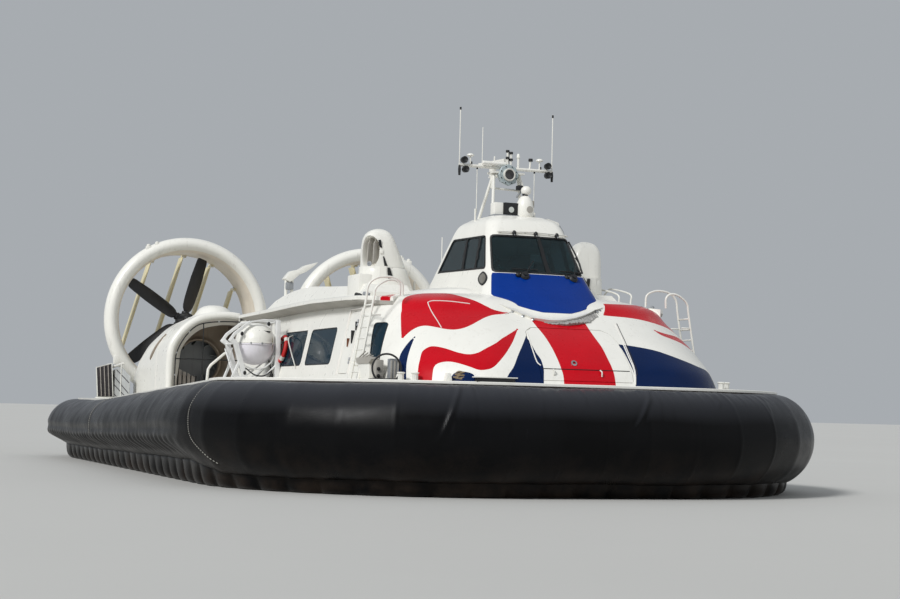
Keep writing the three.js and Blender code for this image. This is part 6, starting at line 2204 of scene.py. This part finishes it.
def build_searchlight():
    """Domed searchlight with its head, lens and cable."""
    torch = Piece("searchlight_body", replaces=["searchlight"], crease=45)
    c = (0.13, -6.95, 0)
    torch.put(lathe([(0.0, 5.03), (0.10, 5.03), (0.10, 5.07), (0.15, 5.10), (0.17, 5.16), (0.168, 5.32),
                     (0.15, 5.40), (0.11, 5.48), (0.07, 5.52), (0.0, 5.525)], c, UP, 32), WHITE)
    torch.put(lathe([(0.0, 5.50), (0.06, 5.50), (0.05, 5.55), (0.06, 5.56), (0.0, 5.56)], c, UP, 24), DARK)
    torch.put(lathe([(0.0, 5.55), (0.06, 5.55), (0.092, 5.58), (0.1, 5.63), (0.09, 5.67), (0.05, 5.71),
                     (0.0, 5.715)],
                    (0.15, -6.95, 0), UP, 32), WHITE)
    torch.put(lathe([(0.0, 0.0), (0.06, 0.0), (0.065, 0.03), (0.0, 0.035)], (0.16, -7.10, 5.25), (0, -1, 0.1),
                    24),
              GUTTER_SHADE_AND_FITTING_GREY)
    torch.put(box((0.19, -7.02, 5.30), (0.30, -6.90, 5.44), 0.02), GUTTER_SHADE_AND_FITTING_GREY)
    torch.put(tube([(0.27, -6.95, 5.1), (0.32, -6.9, 5.2), (0.29, -6.86, 5.42), (0.2, -6.9, 5.5)], 0.014, 8,
                   smooth=4),
              DARK)
    torch.put(bar((0.27, -6.85, 5.02), (0.38, -6.75, 5.24), 0.018, 8), PIPE)
    torch.done()


LAMP_BODY = finish("lamp_body", linear(172, 184, 186), 0.5, dark=0.8, patch=6)
LAMP_LENS = finish("lamp_glass_dark", linear(44, 38, 40), 0.12, dark=0.6, patch=6, coat=0.6)
build_mast_lights()
build_searchlight()


# Seats
def fabric(name, colour, thread):
    """Woven seat cloth: fine threads, a soft sheen and worn patches."""
    material, tree, shader = nodes_of(name)
    plain = coordinates(tree)
    weave = tree.nodes.new("ShaderNodeTexChecker")
    weave.inputs["Scale"].default_value = thread
    link(tree, plain, weave.inputs["Vector"])
    worn = span(tree, noise(tree, plain, 3.5, 5), 0.35, 0.75)
    base = mix(tree, worn, shade(colour, 0.7), shade(colour, 1.25))
    base = mix(tree, span(tree, weave.outputs["Fac"], 0, 1, 0.0, 0.35), base, shade(colour, 0.5))
    link(tree, base, shader.inputs["Base Color"])
    link(tree, span(tree, noise(tree, plain, 12, 3), 0.3, 0.7, 0.75, 0.95), shader.inputs["Roughness"])
    shader.inputs["Sheen Weight"].default_value = 0.3
    bump_from(tree, weave.outputs["Fac"], 0.4, 0.002, shader)
    return material


CLOTH = fabric("seat_cloth", linear(40, 52, 86), 160)
VINYL = finish("seat_vinyl", linear(40, 40, 43), 0.55, dark=0.6, patch=9, bump=0.35)


def cushion(lo, hi, lean=0.0):
    """Crowned pad between two corners, its sides drawn in at the middle and its piping standing out."""
    lo, hi = Vector(lo), Vector(hi)
    centre, size = (lo + hi) / 2, (hi - lo) / 2
    verts, faces = ball((0, 0, 0), (1, 1, 1), 14, 28, 0.42)
    out = []
    for v in verts:
        x, y, z = v
        pull = 1 - 0.035 * (1 - x * x) * (1 - abs(z) ** 3)
        pinch = 1 + 0.04 * math.exp(-(z / 0.12) ** 2)
        out.append(centre + Vector((x * size.x, y * size.y * pull * pinch + lean * (z + 1) * size.z,
                                    z * size.z)))
    return out, faces


def build_passenger_seats(side, mirror):
    """Seven rows of three seats each side of the aisle."""
    pads = Piece(f"passenger_seat_pads_{side}", slot="seat_fabric", mirror=mirror, crease=60,
                 replaces=[f"passenger_seats_{side}"])
    frames = Piece(f"passenger_seat_frames_{side}", slot="bare_alloy", mirror=mirror)
    for row in range(7):
        y = -6.9 + 1.15 * row
        for k in range(3):
            x0 = -2.59 + 0.565 * k
            pads.put(cushion((x0, y, 1.575), (x0 + 0.545, y + 0.45, 1.70)), CLOTH)
            pads.put(cushion((x0, y + 0.40, 1.70), (x0 + 0.545, y + 0.50, 2.28), 0.06), CLOTH)
        frames.put(box((-2.58, y + 0.06, 1.53), (-0.92, y + 0.40, 1.57), 0.01), DARK)
        frames.put(box((-1.64, y + 0.06, 1.30), (-1.56, y + 0.40, 1.54), 0.01), ALLOY)
    frames.put(box((-1.65, -7.0, 1.256), (-1.55, 0.3, 1.31), 0.008), ALLOY)
    pads.done()
    frames.done()


def build_cab_seats():
    """Two seats on pedestals."""
    pads = Piece("cab_seat_pads", slot="dark_trim", crease=60, replaces=["cab_seats"])
    frames = Piece("cab_seat_pedestals", slot="dark_trim")
    frames.put(box((-0.56, -6.75, 3.60), (0.56, -6.25, 3.63), 0.008), DARK)
    for x in (-0.34, 0.34):
        pads.put(cushion((x - 0.22, -6.74, 3.87), (x + 0.22, -6.30, 3.97)), VINYL)
        pads.put(cushion((x - 0.21, -6.35, 3.96), (x + 0.21, -6.26, 4.46), 0.02), VINYL)
        frames.put(lathe([(0.0, 3.61), (0.10, 3.61), (0.06, 3.66), (0.045, 3.72), (0.045, 3.86), (0.0, 3.86)],
                         (x, -6.52, 0), UP, 20), ALLOY)
    pads.done()
    frames.done()


on_both(build_passenger_seats)
build_cab_seats()


# CAD nodes that stay
def dress(name, material, width, smooth):
    """Give a CAD node its material, bevelled edges of a width and a smoothing angle in degrees."""
    thing = bpy.data.objects[name]
    mesh = thing.data
    mesh.materials.clear()
    mesh.materials.append(material)
    mesh.polygons.foreach_set("material_index", [0] * len(mesh.polygons))
    all_smooth(mesh)
    mesh.set_sharp_from_angle(angle=math.radians(smooth))
    if width:
        edge = thing.modifiers.new("edge", "BEVEL")
        edge.width, edge.segments, edge.limit_method = width, 2, "ANGLE"
        edge.angle_limit = math.radians(30)
        edge.harden_normals = False


def dress_nodes():
    """Materials and edge widths of the CAD nodes that no piece replaces."""
    plain = {"hull": (HULL_WHITE, 0.015), "engine_casing": (WHITE, 0.03), "cab_console": (DARK, 0.02),
             "mast": (PIPE, 0.0), "radar_scanner": (WHITE, 0.012)}
    for side, _ in SIDES:
        plain.update({f"landing_skid_{side}": (GREY, 0.02), f"engine_block_{side}": (IRON, 0.03),
                      f"air_trunk_{side}": (WHITE, 0.03), f"lift_fan_{side}": (GREY, 0.0)})
        plain.update({f"rudder_{i}_{side}": (CREAM, 0.004) for i in range(1, 5)})
    for name, (material, width) in plain.items():
        dress(name, material, width, 50 if name.startswith(("mast", "rudder")) else 35)


dress_nodes()


# Stage and light
FLOOR_RADIUS, FLOOR_DROP, SKY_STRENGTH = 420, 0.004, 0.5
# Each sun has its name, the direction towards it, its energy and its width in degrees.
SUNS = (("key", (-0.72, -0.42, 0.66), 2.45, 14), ("fill", (0.6, -0.7, 0.35), 0.2, 60))


def add_floor():
    bm = bmesh.new()
    bmesh.ops.create_circle(bm, cap_ends=True, segments=96, radius=FLOOR_RADIUS)
    mesh = bpy.data.meshes.new("floor")
    bm.to_mesh(mesh)
    bm.free()
    floor = new_object("floor", mesh)
    floor.location.z = -FLOOR_DROP
    mesh.materials.append(finish("floor_pale", linear(198, 197, 193), 0.8, dark=0.97, patch=0.05, bump=0.0))


def add_light():
    world = bpy.data.worlds.new("studio")
    bpy.context.scene.world = world
    world.use_nodes = True
    back = world.node_tree.nodes["Background"]
    back.inputs["Color"].default_value = linear(228, 234, 240)
    back.inputs["Strength"].default_value = SKY_STRENGTH
    bpy.context.scene.view_settings.view_transform = "Standard"
    for name, direction, energy, angle in SUNS:
        light = bpy.data.lights.new(name, "SUN")
        light.energy = energy
        light.angle = math.radians(angle)
        lamp = new_object(name, light)
        lamp.rotation_euler = Vector(direction).to_track_quat("Z", "Y").to_euler()


add_floor()
add_light()


# Update the view layer
bpy.context.view_layer.update()
